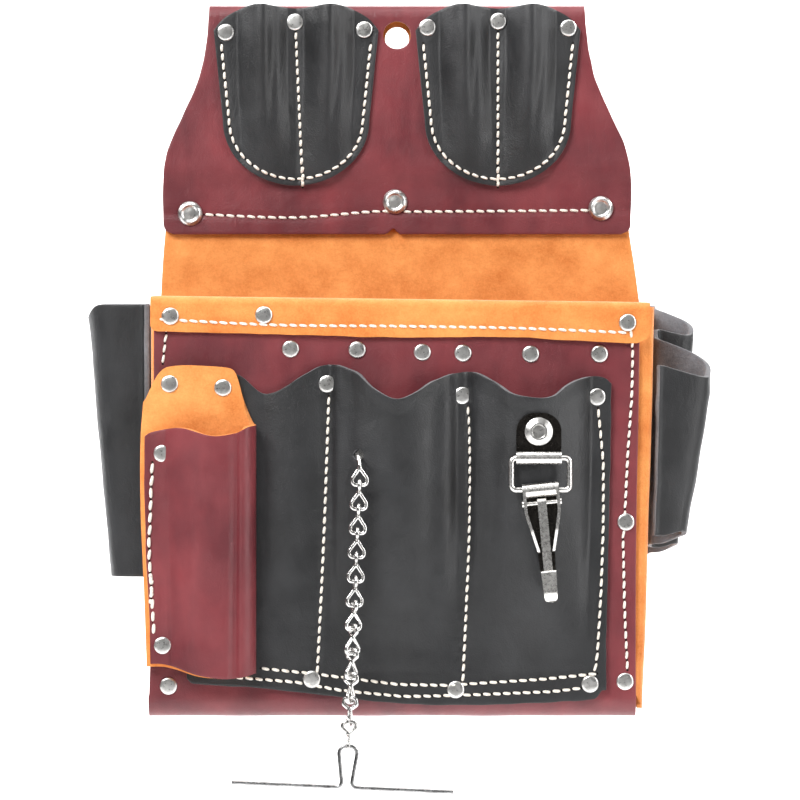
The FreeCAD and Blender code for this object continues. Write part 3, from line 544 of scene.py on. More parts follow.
@dataclass
class BeltTunnel(LeatherMaker):
    """The folded burgundy panel that a belt goes through."""

    top: float = 16.7
    foot: float = -100.8
    face: float = 6.2
    seam_face: float = 4.8
    hole: float = 6.2
    corner: float = 5.0
    rivets: tuple[tuple[float, float], ...] = ((-106.3, -90.3), (-1.0, -84.2), (104.7, -87.6))
    sides: list[tuple[float, float]] = field(default_factory=lambda: [
        (-101.0, 120.0), (-70.0, 120.0), (-55.0, 116.8), (-39.0, 109.5), (-20.0, 101.5), (0.0, 97.6),
        (17.0, 96.4)])

    def half_width(self, z: float) -> float:
        """Return the panel's half width at a height, with its rounded lower corners."""
        half = through(self.sides, z)
        short = self.corner - (z - self.foot)
        if short > 0:
            half -= self.corner - math.sqrt(max(0.0, self.corner**2 - short**2))
        return half

    def front_y(self, x: float, z: float) -> float:
        """Return the depth of the front leaf's grain side."""
        y = -blend_between(self.seam_face, self.face, smooth_step(-78, -66, z))
        y += 0.45 * waves(x, 0, z, 42, 3.1) + 0.18 * waves(x, 0, z, 15, 7.7)
        y += 0.45 * bump(z - self.seam_height(x), 1.5)
        for rx, rz in self.rivets:
            y += 0.5 * bump(math.hypot(x - rx, z - rz), 8.5)
        return y

    @staticmethod
    def seam_height(x: float) -> float:
        """Return the height of the seam along the panel's foot."""
        return through([(-106, -90.5), (-53, -92.4), (-10, -89.2), (8, -89.4), (106, -88.6)], x)

    def surface(self, u: float, v: float) -> Vector:
        """Return a point of the grain side, from the front foot over the fold to the back foot."""
        leg = self.top - self.face - self.foot
        turn = math.pi * self.face
        run = v * (2 * leg + turn)
        fold_z = self.top - self.face
        angle = (run - leg) / self.face
        if run <= leg:
            z = self.foot + run
        elif run < leg + turn:
            z = fold_z + self.face * math.sin(angle)
        else:
            z = fold_z - (run - leg - turn)
        x = (2 * u - 1) * self.half_width(z)
        if run <= leg:
            y = self.front_y(x, z)
        elif run < leg + turn:
            y = math.cos(angle) * (0.45 * waves(x, 0, z, 42, 3.1) - self.face)
        else:
            y = blend_between(self.seam_face, self.face, smooth_step(-78, -66, z)) + 0.3 * waves(x, 9, z, 40)
        notch = 3.4 * max(0.0, 1 - abs(x + 2.0) / 3.2)
        z += notch * (1 - smooth_step(0, 8, z - self.foot))
        ragged = 0.35 * waves(x, 0, z, 9, 1.3) * smooth_step(0.985, 1.0, abs(2 * u - 1))
        return Vector((x + ragged, y, z))

    def build(self) -> bpy.types.Object:
        """Build the panel with its hang hole."""
        holes = [(Vector((0, -self.face, 1.3)), self.hole + 0.9), (Vector((0, self.face, 0)), self.hole)]
        return self.make("tunnel_leather", PANEL, self.surface, (150, 150), FRONT,
                         Vector((0, -self.face, -50)), holes, "tunnel_panel")


@dataclass
class Bag(LeatherMaker):
    """The bag: the wrapped body, its two gussets and the binding of its mouth."""

    front: float = -70.8
    inner: float = -67.6
    back: float = 1.6
    bottom: float = -344.5
    bend: float = 10.0
    back_top: float = -80.0
    foot_left: float = -124.3
    foot_right: float = 119.6
    flange_edge: float = 105.5
    flange_bend: float = 5.0
    gusset_foot: float = -341.0
    binding_face: float = -73.4

    @staticmethod
    def mouth(x: float, drop: float = 0.0) -> float:
        """Return the height of the mouth's edge, lower towards the right."""
        return -135.4 - 0.0128 * x - drop

    def across(self, u: float, z: float) -> float:
        """Return x at a share of the way across the body at a height."""
        if z > -136:
            left = through([(-136, -121.5), (-118, -120.6), (-100, -119.2), (-80, -117.5)], z)
            right = through([(-136, 124.6), (-118, 122.2), (-100, 119.4), (-80, 117.5)], z)
            return blend_between(left, right, u)
        left = through([(-345, self.foot_left), (-300, -123.0), (-240, -122.0), (-136, -121.5)], z)
        right = through([(-345, self.foot_right), (-300, 119.4), (-240, 119.8), (-180, 121.0),
                         (-136, 121.5)], z)
        return blend_between(left, right, u)

    def front_y(self, x: float, z: float) -> float:
        """Return the depth of the front's grain side."""
        y = self.front + 0.5 * waves(x, 0, z, 45, 5.2) + 0.2 * waves(x, 0, z, 14, 2.2)
        return min(y, self.front + 0.4)

    def wrap(self, u: float, v: float) -> Vector:
        """Return a point of the grain side, from the front mouth under the bag to the back's top."""
        bend = self.bend
        foot_x = blend_between(self.foot_left, self.foot_right, u)
        leg = self.mouth(0, 2.6) - self.bottom - bend
        turn = math.pi / 2 * bend
        floor = self.back - self.front - 2 * bend
        rise = self.back_top - self.bottom - bend
        run = v * (leg + 2 * turn + floor + rise)
        if run <= leg:
            share = run / leg
            x = self.across(u, self.mouth(0) - run)
            z = blend_between(self.mouth(x, 2.6), self.bottom + bend, share)
            return Vector((x, self.front_y(x, z), z))
        run -= leg
        if run <= turn:
            angle = run / bend
            z = self.bottom + bend * (1 - math.sin(angle))
            y = self.front + bend * (1 - math.cos(angle))
            y += 0.5 * waves(foot_x, 0, z, 45, 5.2) * math.cos(angle)
            return Vector((foot_x, y, z + 0.25 * waves(foot_x, 3, 0, 30)))
        run -= turn
        if run <= floor:
            return Vector((foot_x, self.front + bend + run, self.bottom + 0.25 * waves(foot_x, 3, 0, 30)))
        run -= floor
        if run <= turn:
            angle = run / bend
            return Vector((foot_x, self.back - bend * (1 - math.sin(angle)),
                           self.bottom + bend * (1 - math.cos(angle))))
        run -= turn
        z = self.bottom + bend + run
        x = self.across(u, z)
        belly = 0.9 * smooth_step(-101, -112, z) * smooth_step(-340, -250, z)
        return Vector((x, self.back - belly * (0.4 + 0.4 * waves(x, 20, z, 50)), z))

    def body(self) -> bpy.types.Object:
        """Build the wrapped body."""
        return self.make("body_leather", PANEL, self.wrap, (110, 250), FRONT,
                         Vector((0, self.front, -250)), None, "body_panel")

    def gusset_surface(self, side: int, wall: float) -> Surface:
        """Return the outer side of a gusset, from its front flange round the wall to the back flange."""
        edge, bend = self.flange_edge, self.flange_bend
        low, high = self.inner, -self.back
        path = [Vector((edge, low)), Vector((wall - bend, low))]
        path += arc((wall - bend, low + bend), bend, -90, 0)[1:]
        path += arc((wall - bend, high - bend), bend, 0, 90)
        path += [Vector((edge, high))]

        def surface(u: float, v: float) -> Vector:
            """Return a point of this gusset."""
            point = along(path, u)[0]
            top = self.mouth(side * wall, 1.6) - 1.4 * math.sin(math.pi * u)
            foot = self.gusset_foot
            depth = max(0.0, min(point.y - low, high - point.y))
            reach = 6.8
            if depth < reach:
                foot += reach - math.sqrt(max(0.0, reach**2 - (reach - depth) ** 2))
            z = blend_between(foot + 0.3, top, v)
            free = smooth_step(edge + 10, wall, point.x)
            out = free * (0.5 * waves(point.y, 0, z, 38, side * 4.0) - 0.6)
            inward = free * wall_lean(side, z)
            ragged = 0.5 * waves(0, point.y, z, 7, side * 2.0) * (1 - free)
            groove = 1.1 * bump(point.x - wall + 3.2, 0.9) if point.y < low + bend else 0.0
            return Vector((side * (point.x + out + inward + ragged), point.y + groove, z))

        return surface

    def gusset(self, side: int, wall: float, name: str) -> bpy.types.Object:
        """Build one gusset."""
        surface = self.gusset_surface(side, wall)
        return self.make(f"{name}_leather", GUSSET, surface, (74, 90), Vector((side, 0, 0)),
                         Vector((side * wall, -34, -240)), None, name)

    def binding_surface(self, u: float, v: float) -> Vector:
        """Return a point of the binding's outer side, from its front foot over the mouth to its back foot."""
        front, back = self.binding_face, self.inner + GUSSET_THICKNESS
        x = blend_between(-123.2, 126.6, u)
        top = self.mouth(x)
        foot = through([(-124, -151.6), (-60, -153.2), (0, -154.8), (54, -154.6), (90, -156.4),
                        (126, -158.0)], x)
        depth = back - front
        half = depth / 2
        leg = top - half - foot
        turn = math.pi * half
        run = v * (2 * leg + turn)
        if run <= leg:
            y, z = front, foot + run
        elif run <= leg + turn:
            angle = (run - leg) / half
            y = (front + back) / 2 - half * math.cos(angle)
            z = top - half + half * math.sin(angle)
            within = min(max(x, -104.6), 104.6)
            x = blend_between(x, within, smooth_step(0.35, 0.8, (run - leg) / turn))
        else:
            y, z = back, top - half - (run - leg - turn)
            x = min(max(x, -104.6), 104.6) + 0.001 * x
        if run <= leg:
            end = min(1.0, (126.6 - x) / 9.0) if x > 0 else min(1.0, (x + 123.2) / 4.0)
            squeeze = math.sqrt(max(0.0, 1 - (1 - max(end, 0.0)) ** 2))
            middle = (top - half + foot) / 2
            z = middle + (z - middle) * blend_between(0.35 if x > 0 else 0.62, 1.0, squeeze)
            y += 0.35 * waves(x, 0, z, 22, 6.0) + 0.35 * bump(z - self.binding_seam(x), 1.6)
            y = min(y, front + 0.5)
        z += 0.35 * waves(x, y, 0, 12, 8.0) * (1 - smooth_step(0.0, 0.1, v))
        return Vector((x, y, z))

    @staticmethod
    def binding_seam(x: float) -> float:
        """Return the height of the seam along the binding."""
        return through([(-118, -145.8), (-60, -148.6), (0, -149.2), (60, -150.2), (120, -152.6)], x)

    def binding_y(self, _x: float, _z: float) -> float:
        """Return the depth at which thread lies on the binding, the same all along it."""
        return self.binding_face + 0.25

    def edge_y(self, x: float, z: float) -> float:
        """Return the depth at which thread lies along a side: on the binding above and on the body below."""
        on_binding = z > -157.5 + 0.025 * (117 - x)
        return self.binding_y(x, z) if on_binding else self.front_y(x, z)

    def binding(self) -> bpy.types.Object:
        """Build the binding of the mouth."""
        return self.make("mouth_binding_leather", BINDING, self.binding_surface, (150, 44), FRONT,
                         Vector((0, self.binding_face, -148)), None, "mouth_binding")

    def build(self) -> list[bpy.types.Object]:
        """Build the bag's leather."""
        made = [self.body()]
        for side, wall, name in ((-1, 124.0, "left_gusset"), (1, 128.0, "right_gusset")):
            made.append(self.gusset(side, wall, name))
        return made + [self.binding()]


# ---------------------------------------------------------------- pockets

def arch_rise(x: float, arches: list[tuple[float, float, float]]) -> float:
    """Return how far leather arches out at x, for (left, right, height) arches."""
    for left, right, height in arches:
        if left < x < right:
            share = (x - left) / (right - left)
            return height * math.sin(math.pi * share) ** 0.85
    return 0.0


@dataclass
class FrontPockets(LeatherMaker):
    """The black leather of the three front pockets, scalloped along its top."""

    face: float = -73.6
    left: float = -105.0
    right: float = 107.0
    chain_hole: tuple[float, float] = (-19.3, -213.3)
    arches: list[tuple[float, float, float]] = field(default_factory=lambda: [
        (-66.0, -37.5, 2.4), (-32.8, 30.4, 11.0), (35.0, 97.2, 14.0)])
    rim: list[tuple[float, float]] = field(default_factory=lambda: [
        (-105, -169), (-92, -170.5), (-79, -173.5), (-65.5, -183), (-46, -173.4), (-35, -168.4),
        (-21.5, -171.8), (-12, -180.0), (-1, -185.4), (10, -182.0), (19, -176.3), (36, -172.0), (47, -176.2),
        (56, -182.3), (67, -184.8), (78, -184.0), (85, -179.0), (91, -175.8), (98, -174.3), (104, -175.3),
        (107, -178)])
    foot: list[tuple[float, float]] = field(default_factory=lambda: [
        (-105, -325), (-102, -327.6), (-71, -329.6), (-28, -334.4), (-11, -336.5), (24, -338.4), (67, -337.4),
        (98, -335.8), (102, -335.0), (105, -331)])

    @staticmethod
    def fullness(z: float) -> float:
        """Return how open the pockets are at a height: full above and flat along the foot."""
        return through([(-322, 0.0), (-308, 0.12), (-285, 0.42), (-250, 0.82), (-225, 1.0), (-160, 1.0)], z)

    def front_y(self, x: float, z: float) -> float:
        """Return the depth of the grain side."""
        rise = arch_rise(x, self.arches) * self.fullness(z)
        folds = 0.0
        for place, height, width in ((-31.5, 1.0, 4.5), (25.5, 1.2, 5.0), (39.5, 1.2, 5.5), (92.5, 0.9, 5.0)):
            folds += height * bump(x - place, width) * smooth_step(-318, -250, z) * 0.7
        for place, depth, width in ((-24.5, 1.4, 4.0), (48.5, 1.7, 4.5), (17.0, 1.0, 4.5)):
            folds -= depth * bump(x - place - 0.04 * (z + 220), width) * smooth_step(-322, -235, z) * 0.6
        puckers = 0.0
        for seam in (self.seam(1, z), self.seam(2, z)):
            puckers += 0.5 * bump(x - seam, 1.4) - 0.25 * bump(x - seam, 5.0) * math.sin(z * 0.62) ** 2
        swell = 0.35 * waves(x, 0, z, 34, 4.4) + 0.22 * waves(x, 0, z, 12, 9.9)
        lip = 1.2 * smooth_step(9, 0, self.rim_height(x) - z) * smooth_step(2.0, 8.0, rise)
        return self.face - rise - folds * smooth_step(0.5, 3.0, rise) + puckers + swell * 0.8 - lip - 0.1

    def rim_height(self, x: float) -> float:
        """Return the height of the scalloped top at x."""
        return through(self.rim, x)

    @staticmethod
    def seam(number: int, z: float) -> float:
        """Return where the seam on the left (1) or on the right (2) of the middle pocket runs at a height."""
        lines = {1: [(-337, -40.5), (-255, -36.5), (-186, -34.0)],
                 2: [(-337, 32.4), (-290, 34.6), (-250, 36.2), (-195, 36.0), (-178, 33.5)]}
        return through(lines[number], z)

    def surface(self, u: float, v: float) -> Vector:
        """Return a point of the grain side, from the foot to the scalloped top."""
        x = blend_between(self.left, self.right, u)
        top, low = self.rim_height(x), through(self.foot, x)
        z = blend_between(low, top, v)
        lean = -2.6 * smooth_step(60, 107, x) * smooth_step(-178, -330, z)
        z += 0.3 * waves(x, 0, 0, 8, 2.2) * (abs(2 * v - 1) ** 6)
        edge = 0.3 * waves(0, 0, z, 10, 5.1) * (abs(2 * u - 1) ** 40)
        return Vector((x + lean + edge, self.front_y(x, z), z))

    def build(self) -> bpy.types.Object:
        """Build the pocket leather with the hole that the chain comes out of."""
        x, z = self.chain_hole
        hole = Vector((x, self.front_y(x, z), z))
        return self.make("front_pocket_leather", POCKET, self.surface, (190, 130), FRONT,
                         Vector((0, self.face - 10, -240)), [(hole, 2.7)], "front_pocket")


@dataclass
class TopPocket(LeatherMaker):
    """One double pocket on the belt tunnel: two tubes side by side in a rounded shield."""

    name: str = "left_top_pocket"
    centre: float = -51.8
    base: float = -6.2
    half: float = 42.2
    waist: float = 37.5
    hips: float = -43.0
    bottom: float = -76.0
    height: float = 9.5

    def front_y(self, x: float, z: float) -> float:
        """Return the depth of the grain side: two tubes, each with a crease down its middle."""
        across = x - self.centre
        full = through([(-80, 0.0), (-70, 0.12), (-50, 0.40), (-20, 0.78), (5, 1.0), (20, 1.0)], z)
        rise = 0.0
        for side in (-1, 1):
            middle, half = side * (17.0 - 1.5 * smooth_step(-10, -60, z)), 13.0
            distance = (across - middle) / half
            if abs(distance) < 1:
                rise = self.height * full * math.cos(distance * math.pi / 2) ** 1.15
                groove = 0.20 * bump(distance - 0.42 + 0.2 * smooth_step(0, -60, z), 0.20)
                rise *= 1 - groove * smooth_step(-74, -20, z)
        seam = 0.45 * bump(across, 1.5) + 0.3 * bump(self.from_edge(x, z) - 3.0, 1.4)
        swell = 0.45 * waves(x, 0, z, 24, 1.7) + 0.12 * waves(x, 0, z, 9, 3.9)
        return min(self.base - TOP_POCKET_THICKNESS - rise + seam + swell, self.base - 1.9)

    def from_edge(self, x: float, z: float) -> float:
        """Return roughly how far a point is inside the outline below the shoulders."""
        across = abs(x - self.centre)
        if z > self.hips:
            return blend_between(self.waist, self.half, (z - self.hips) / (4.0 - self.hips)) - across
        deep = self.hips - self.bottom
        reach = math.hypot(across / self.waist, (self.hips - z) / deep)
        return (1 - reach) * deep

    def rim_height(self, across: float) -> float:
        """Return the height of the top edge: a crest over each tube."""
        half = [(8, 15.4), (18.5, 16.6), (25, 15.6), (32, 12.8), (38.0, 8.8), (42.2, 3.5)]
        return through([(-x, z) for x, z in reversed(half)] + [(0, 14.8)] + half, across)

    def surface(self, u: float, v: float) -> Vector:
        """Return a point of the grain side; the grid's sides and foot follow the shield's outline."""
        corner = math.radians(48)
        deep = self.hips - self.bottom

        def flank(share: float) -> Vector:
            """Return a point of the right side's outline, from the end of the foot's curve to the top."""
            straight = 0.62
            if share > straight:
                t = (share - straight) / (1 - straight)
                return Vector((blend_between(self.waist, self.half, t), blend_between(self.hips, 3.5, t)))
            angle = corner * (1 - share / straight)
            return Vector((self.waist * math.cos(angle), self.hips - deep * math.sin(angle)))

        side, foot, high = flank(v), flank(0.0), flank(1.0)
        angle = blend_between(math.pi - corner, corner, u)
        low = Vector((self.waist * math.cos(angle), self.hips - deep * math.sin(angle)))
        across = 2 * u - 1
        top = Vector((across * self.half, self.rim_height(across * self.half)))
        corners = Vector((foot.x * across, foot.y)) * (1 - v) + Vector((high.x * across, high.y)) * v
        flat = Vector((side.x * across, side.y)) + low * (1 - v) + top * v - corners
        x, z = self.centre + flat.x, flat.y
        return Vector((x, self.front_y(x, z), z))

    def build(self) -> bpy.types.Object:
        """Build the pocket leather."""
        return self.make(f"{self.name}_leather", TOP_LEATHER, self.surface, (110, 90), FRONT,
                         Vector((self.centre, self.base - 3, -30)), None, self.name)


# ---------------------------------------------------------------- sheath and holders

@dataclass
class ToolSheath(LeatherMaker):
    """The tool sheath: one piece folded on the right and sewn along the left."""

    left: float = -128.0
    right: float = -70.2
    back: float = -76.4
    seat: float = -73.6
    margin: float = -79.3
    front: float = -90.6
    front_top: list[tuple[float, float]] = field(default_factory=lambda: [
        (-128.0, -207.5), (-125.0, -203.6), (-121.0, -201.8), (-108.5, -200.0), (-91.0, -203.8),
        (-80.0, -202.4), (-74.0, -199.4), (-70.0, -198.6)])
    back_top: list[tuple[float, float]] = field(default_factory=lambda: [
        (-128.0, -187.0), (-124.0, -177.0), (-121.5, -172.6), (-117.0, -169.6), (-100.0, -168.9),
        (-86.0, -169.8), (-81.6, -171.6), (-79.6, -176.5), (-77.6, -184.0), (-74.6, -192.0), (-72.0, -197.4),
        (-70.0, -198.6)])

    def section(self) -> list[Vector]:
        """Return the grain side's section in XY from the sewn front margin round the fold to the back."""
        sewn, front = self.margin, self.front
        path = [(self.left + 2.4, sewn), (-118.0, sewn), (-113.5, sewn - 1.2), (-108.5, sewn - 5.0),
                (-101.0, front + 1.3), (-92.0, front), (-84.0, front + 0.6), (-80.6, front + 1.9),
                (-78.2, front + 0.5)]
        middle = (front + self.seat) / 2
        radius = middle - front
        fold = arc((self.right - radius, middle), radius, -90, 90, 14)
        return [Vector(pair) for pair in path] + fold + [Vector((self.left - 0.4, self.seat))]

    def surface(self, u: float, v: float) -> Vector:
        """Return a point of the grain side: u round the section, v up."""
        point = along(softened(self.section(), 2), u)[0]
        x = point.x
        is_back = u > 0.52
        top = through(self.back_top if is_back else self.front_top, x)
        low = through([(-128, -317.5), (-119, -317.6), (-110, -319.5), (-98, -323.0), (-86, -324.6),
                       (-78, -324.0), (-70, -322.0)], x)
        low -= 1.5 * smooth_step(0.62, 0.8, u)
        z = blend_between(low, top, v)
        shift = through([(-325, 3.2), (-280, 1.6), (-240, 0.0), (-205, 0.0), (-170, 2.8)], z)
        x += shift * smooth_step(-100, -127, x) + (0.6 if is_back else 0.0)
        open_mouth = through([(-325, 0.85), (-300, 0.9), (-230, 1.0), (-199, 1.12)], z)
        depth = blend_between(self.seat, point.y, open_mouth) if point.y < self.back - 4 else point.y
        depth += 0.5 * waves(x, 0, z, 26, 3.3) * (0 if is_back else 1) + 0.2 * waves(x, 0, z, 9, 5.0)
        if not is_back:
            depth += 0.5 * bump(x + 122.6, 1.6) + 0.9 * bump(x + 79.8 - 0.02 * (z + 260), 1.9)
            x += 0.9 * waves(0, 0, z, 28, 2.0) * smooth_step(-118, -127, x)
        z += 0.5 * waves(x, 0, 0, 14, 4.0) * smooth_step(0.9, 1.0, v)
        return Vector((x, min(depth, self.seat - 0.05), z))

    def seam_y(self, _x: float, _z: float) -> float:
        """Return the depth at which thread lies on the sewn margin, the same all along it."""
        return self.margin + 0.4

    def build(self) -> bpy.types.Object:
        """Build the sheath."""
        return self.make("tool_sheath_leather", SHEATH_LEATHER, self.surface, (120, 90), FRONT,
                         Vector((-95, self.front, -260)), None, "tool_sheath")


@dataclass
class SideHolders(LeatherMaker):
    """The black tubes on the two gussets: one on the left, two side by side on the right."""

    left_wall: float = 124.0
    right_wall: float = 128.0
    flat: float = POCKET_THICKNESS

    def tube(self, low: float, high: float, rise: float) -> list[Vector]:
        """Return a tube's section as (depth from the wall, y) with small feet on the wall."""
        half_width = (high - low) / 2
        knee = 0.60 * rise
        half = [(self.flat, -1.2), (self.flat + 1.5, 0.0), (knee * 0.6, 0.2), (knee, 1.0),
                (rise * 0.80, half_width * 0.22), (rise * 0.94, half_width * 0.5)]
        return ([Vector((depth, low + inset)) for depth, inset in half] + [Vector((rise, low + half_width))]
                + [Vector((depth, high - inset)) for depth, inset in reversed(half)])

    def left_surface(self, u: float, v: float) -> Vector:
        """Return a point of the left holder's grain side."""
        z_top, z_foot = -137.8, -275.2
        share = 1 - v
        low = blend_between(-57.0, -50.0, share)
        high = blend_between(-17.0, -22.0, share)
        rise = blend_between(33.4, 21.2, share)
        ends = [Vector((self.flat, y)) for y in (-62.0, -11.8)]
        point = along(softened([ends[0], *self.tube(low, high, rise), ends[1]]), u)[0]
        z = blend_between(z_foot, z_top, v)
        depth = point.x * (1 + 0.02 * waves(0, point.y, z, 30, 1.0)) + 0.25 * waves(0, point.y, z, 14, 2.0)
        tip = 7.0 * smooth_step(0.90, 1.0, v) * min(1.0, max(0.0, (point.x - 24.0) / 9.4)) ** 3
        return Vector((-self.left_wall - max(min(depth, rise), self.flat), point.y, z - tip))

    def right_surface(self, u: float, v: float) -> Vector:
        """Return a point of the right holder's grain side: two tubes with a seam between them."""
        share = 1 - v
        front = self.tube(blend_between(-64.0, -61.0, share), blend_between(-39.8, -40.2, share),
                          blend_between(31.0, 19.6, share))
        rear = self.tube(-31.0, blend_between(-13.0, -14.5, share), blend_between(22.5, 17.0, share))
        point = along(softened(front + rear + [Vector((self.flat, -8.3))]), u)[0]
        top = through([(-66, -172.5), (-52, -166.5), (-38, -157.5), (-31, -153.0), (-22, -147.0),
                       (-8, -141.0)], point.y)
        foot = through([(-66, -253.2), (-38, -259.4), (-31, -261.0), (-8, -265.3)], point.y)
        top += blend_between(4.5, -5.5, min(1.0, point.x / 30.0))
        foot += 3.0 * smooth_step(6.0, 18.0, point.x)
        z = blend_between(foot, top, v)
        depth = point.x * (1 + 0.025 * waves(0, point.y, z, 26, 4.0)) + 0.3 * waves(0, point.y, z, 13, 6.0)
        dip = 1.6 * bump(point.y + 54, 5.0) * smooth_step(0.85, 1.0, v) * smooth_step(8, 20, point.x)
        return Vector((self.right_wall + wall_lean(1, z) + max(depth - dip, self.flat), point.y, z))

    def build(self) -> list[bpy.types.Object]:
        """Build both holders."""
        left = self.make("left_holder_leather", POCKET, self.left_surface, (150, 70), Vector((-1, 0, 0)),
                         Vector((-155, -37, -200)), None, "left_holder")
        right = self.make("right_holder_leather", POCKET, self.right_surface, (170, 64), Vector((1, 0, 0)),
                          Vector((158, -50, -210)), None, "right_holder")
        return [left, right]


@dataclass
class LoopStrip(LeatherMaker):
    """The strip of small loops inside the front."""

    base: float = -67.6
    high: float = -154.9
    low: float = -173.8
    room: float = 6.5
    rivets: tuple[float, ...] = (-53.2, -19.9, 12.7, 33.0, 66.8, 101.2)

    def surface(self, u: float, v: float) -> Vector:
        """Return a point of the side that faces into the bag."""
        x = blend_between(-61.0, 104.5, u)
        rise = 0.0
        for a, b in zip(self.rivets, self.rivets[1:]):
            start, width = a + self.room, b - a - 2 * self.room
            if 0 < x - start < width:
                rise = min(9.0, width * 0.5) * math.sin(math.pi * (x - start) / width)
        return Vector((x, self.base + STRIP_THICKNESS + rise, blend_between(self.low, self.high, v)))

    def build(self) -> bpy.types.Object:
        """Build the strip."""
        return self.make("inner_loop_leather", STRIP, self.surface, (140, 12), -FRONT,
                         Vector((0, self.base + 8, -165)), None, "inner_loop_strip")


# ---------------------------------------------------------------- rivets

class Head(Enum):
    """The shapes of rivet heads on the pouch."""

    CAP = "cap"
    RINGED = "ringed"


@dataclass
class Rivets:
    """Every rivet: each stands where its own solid stands in the frame."""

    finishes: Finishes

    @staticmethod
    def solids(node: str) -> list[tuple[Vector, Vector]]:
        """Return the lowest and highest corners of a CAD node's solids in millimetres, in a fixed order."""
        shape = bmesh.new()
        shape.from_mesh(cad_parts[node].data)
        bmesh.ops.remove_doubles(shape, verts=shape.verts, dist=1e-6)
        waiting = set(shape.verts)
        boxes = []
        while waiting:
            island, edge = set(), [waiting.pop()]
            while edge:
                vertex = edge.pop()
                island.add(vertex)
                for line in vertex.link_edges:
                    other = line.other_vert(vertex)
                    if other in waiting:
                        waiting.remove(other)
                        edge.append(other)
            spots = [v.co / MM for v in island]
            boxes.append((Vector(min(p[i] for p in spots) for i in range(3)),
                          Vector(max(p[i] for p in spots) for i in range(3))))
        shape.free()
        return sorted(boxes, key=lambda box: tuple(box[0]))

    @staticmethod
    def lathe(shape: bmesh.types.BMesh, profile: list[tuple[float, float]], place: Vector, axis: Vector,
              steps: int = 28) -> None:
        """Turn a profile of (radius, height) about an axis and put it in place.

        Args:
            shape: The mesh that it is added to.
            profile: The points from the middle of the top to the middle of the bottom.
            place: Where height 0 lies.
            axis: The direction of height.
            steps: How many steps make the full turn.
        """
        turn = axis.to_track_quat("Z", "Y").to_matrix()
        verts = [shape.verts.new(place + turn @ Vector((r, 0, h))) for r, h in profile]
        edges = [shape.edges.new(pair) for pair in zip(verts, verts[1:])]
        before = set(shape.faces)
        bmesh.ops.spin(shape, geom=verts + edges, cent=place, axis=axis, dvec=(0, 0, 0),
                       angle=2 * math.pi, steps=steps, use_merge=True)
        fresh = [f for f in shape.faces if f not in before]
        spots = list(dict.fromkeys(v for f in fresh for v in f.verts))
        bmesh.ops.remove_doubles(shape, verts=spots, dist=1e-4)
        bmesh.ops.recalc_face_normals(shape, faces=[f for f in shape.faces if f not in before])

    @staticmethod
    def profile(head: Head, radius: float, height: float, through_length: float) -> list[tuple[float, float]]:
        """Return the profile of a rivet from its head to its clinched tail."""
        r, h = radius, height
        if head is Head.RINGED:
            top = [(0.0, 0.62 * h), (0.34 * r, 0.60 * h), (0.48 * r, 0.50 * h), (0.56 * r, 0.52 * h),
                   (0.63 * r, 0.96 * h), (0.72 * r, 1.04 * h), (0.80 * r, 0.92 * h), (0.92 * r, 0.46 * h),
                   (0.985 * r, 0.26 * h), (r, 0.10 * h), (0.985 * r, 0.0)]
        else:
            top = [(0.0, h), (0.25 * r, 0.995 * h), (0.5 * r, 0.97 * h), (0.68 * r, 0.92 * h),
                   (0.80 * r, 0.85 * h), (0.88 * r, 0.74 * h), (0.94 * r, 0.58 * h), (0.98 * r, 0.38 * h),
                   (r, 0.18 * h), (0.985 * r, 0.0)]
        back = -through_length
        shaft, tail = 1.6, 0.6 * r
        return top + [(shaft, -0.02), (shaft, back + 0.02), (tail, back), (tail * 1.02, back - 0.3),
                      (tail * 0.8, back - 0.5), (0.0, back - 0.5)]

    def group(self, node: str, head: Head, axis: Vector, index: int, turned: int = 28) -> bpy.types.Object:
        """Build the rivets of one CAD node, heads along an axis."""
        shape = bmesh.new()
        for number, (low, high) in enumerate(self.solids(node)):
            across = (index + 1) % 3
            radius = (high[across] - low[across]) / 2
            middle = (low + high) / 2
            outer = low[index] if axis[index] < 0 else high[index]
            full = high[index] - low[index]
            dome = 0.3 * radius
            place = middle.copy()
            place[index] = outer - axis[index] * dome
            tilt = Vector((0.16 * waves(number, 1, 2, 1.7), 0, 0.16 * waves(number, 5, 3, 1.7)))
            tilt[index] = 0
            height = dome * (1.0 if head is Head.RINGED else 0.85)
            profile = self.profile(head, radius, height, full - dome - 0.5)
            self.lathe(shape, profile, place, (axis + tilt).normalized(), turned)
        return add_piece(f"{node}_turned", shape, self.finishes.of(NICKEL), NICKEL.slot, "pouch", node)

    def build(self) -> list[bpy.types.Object]:
        """Build every group of rivets."""
        made = [self.group("tunnel_rivets", Head.RINGED, FRONT, 1, 40)]
        for seam in ("top_pocket", "mouth", "strip", "front_pocket", "sheath", "side_seam"):
            made.append(self.group(f"{seam}_rivets", Head.CAP, FRONT, 1))
        made.append(self.group("holder_rivets", Head.CAP, Vector((1, 0, 0)), 0))
        return made


# ---------------------------------------------------------------- thread

@dataclass
class Seam:
    """One run of stitches on leather that faces the front."""

    points: list[tuple[float, float]]
    depth: Depth
    pitch: float = 5.0
    width: float = 1.5
    loose: float = 0.0


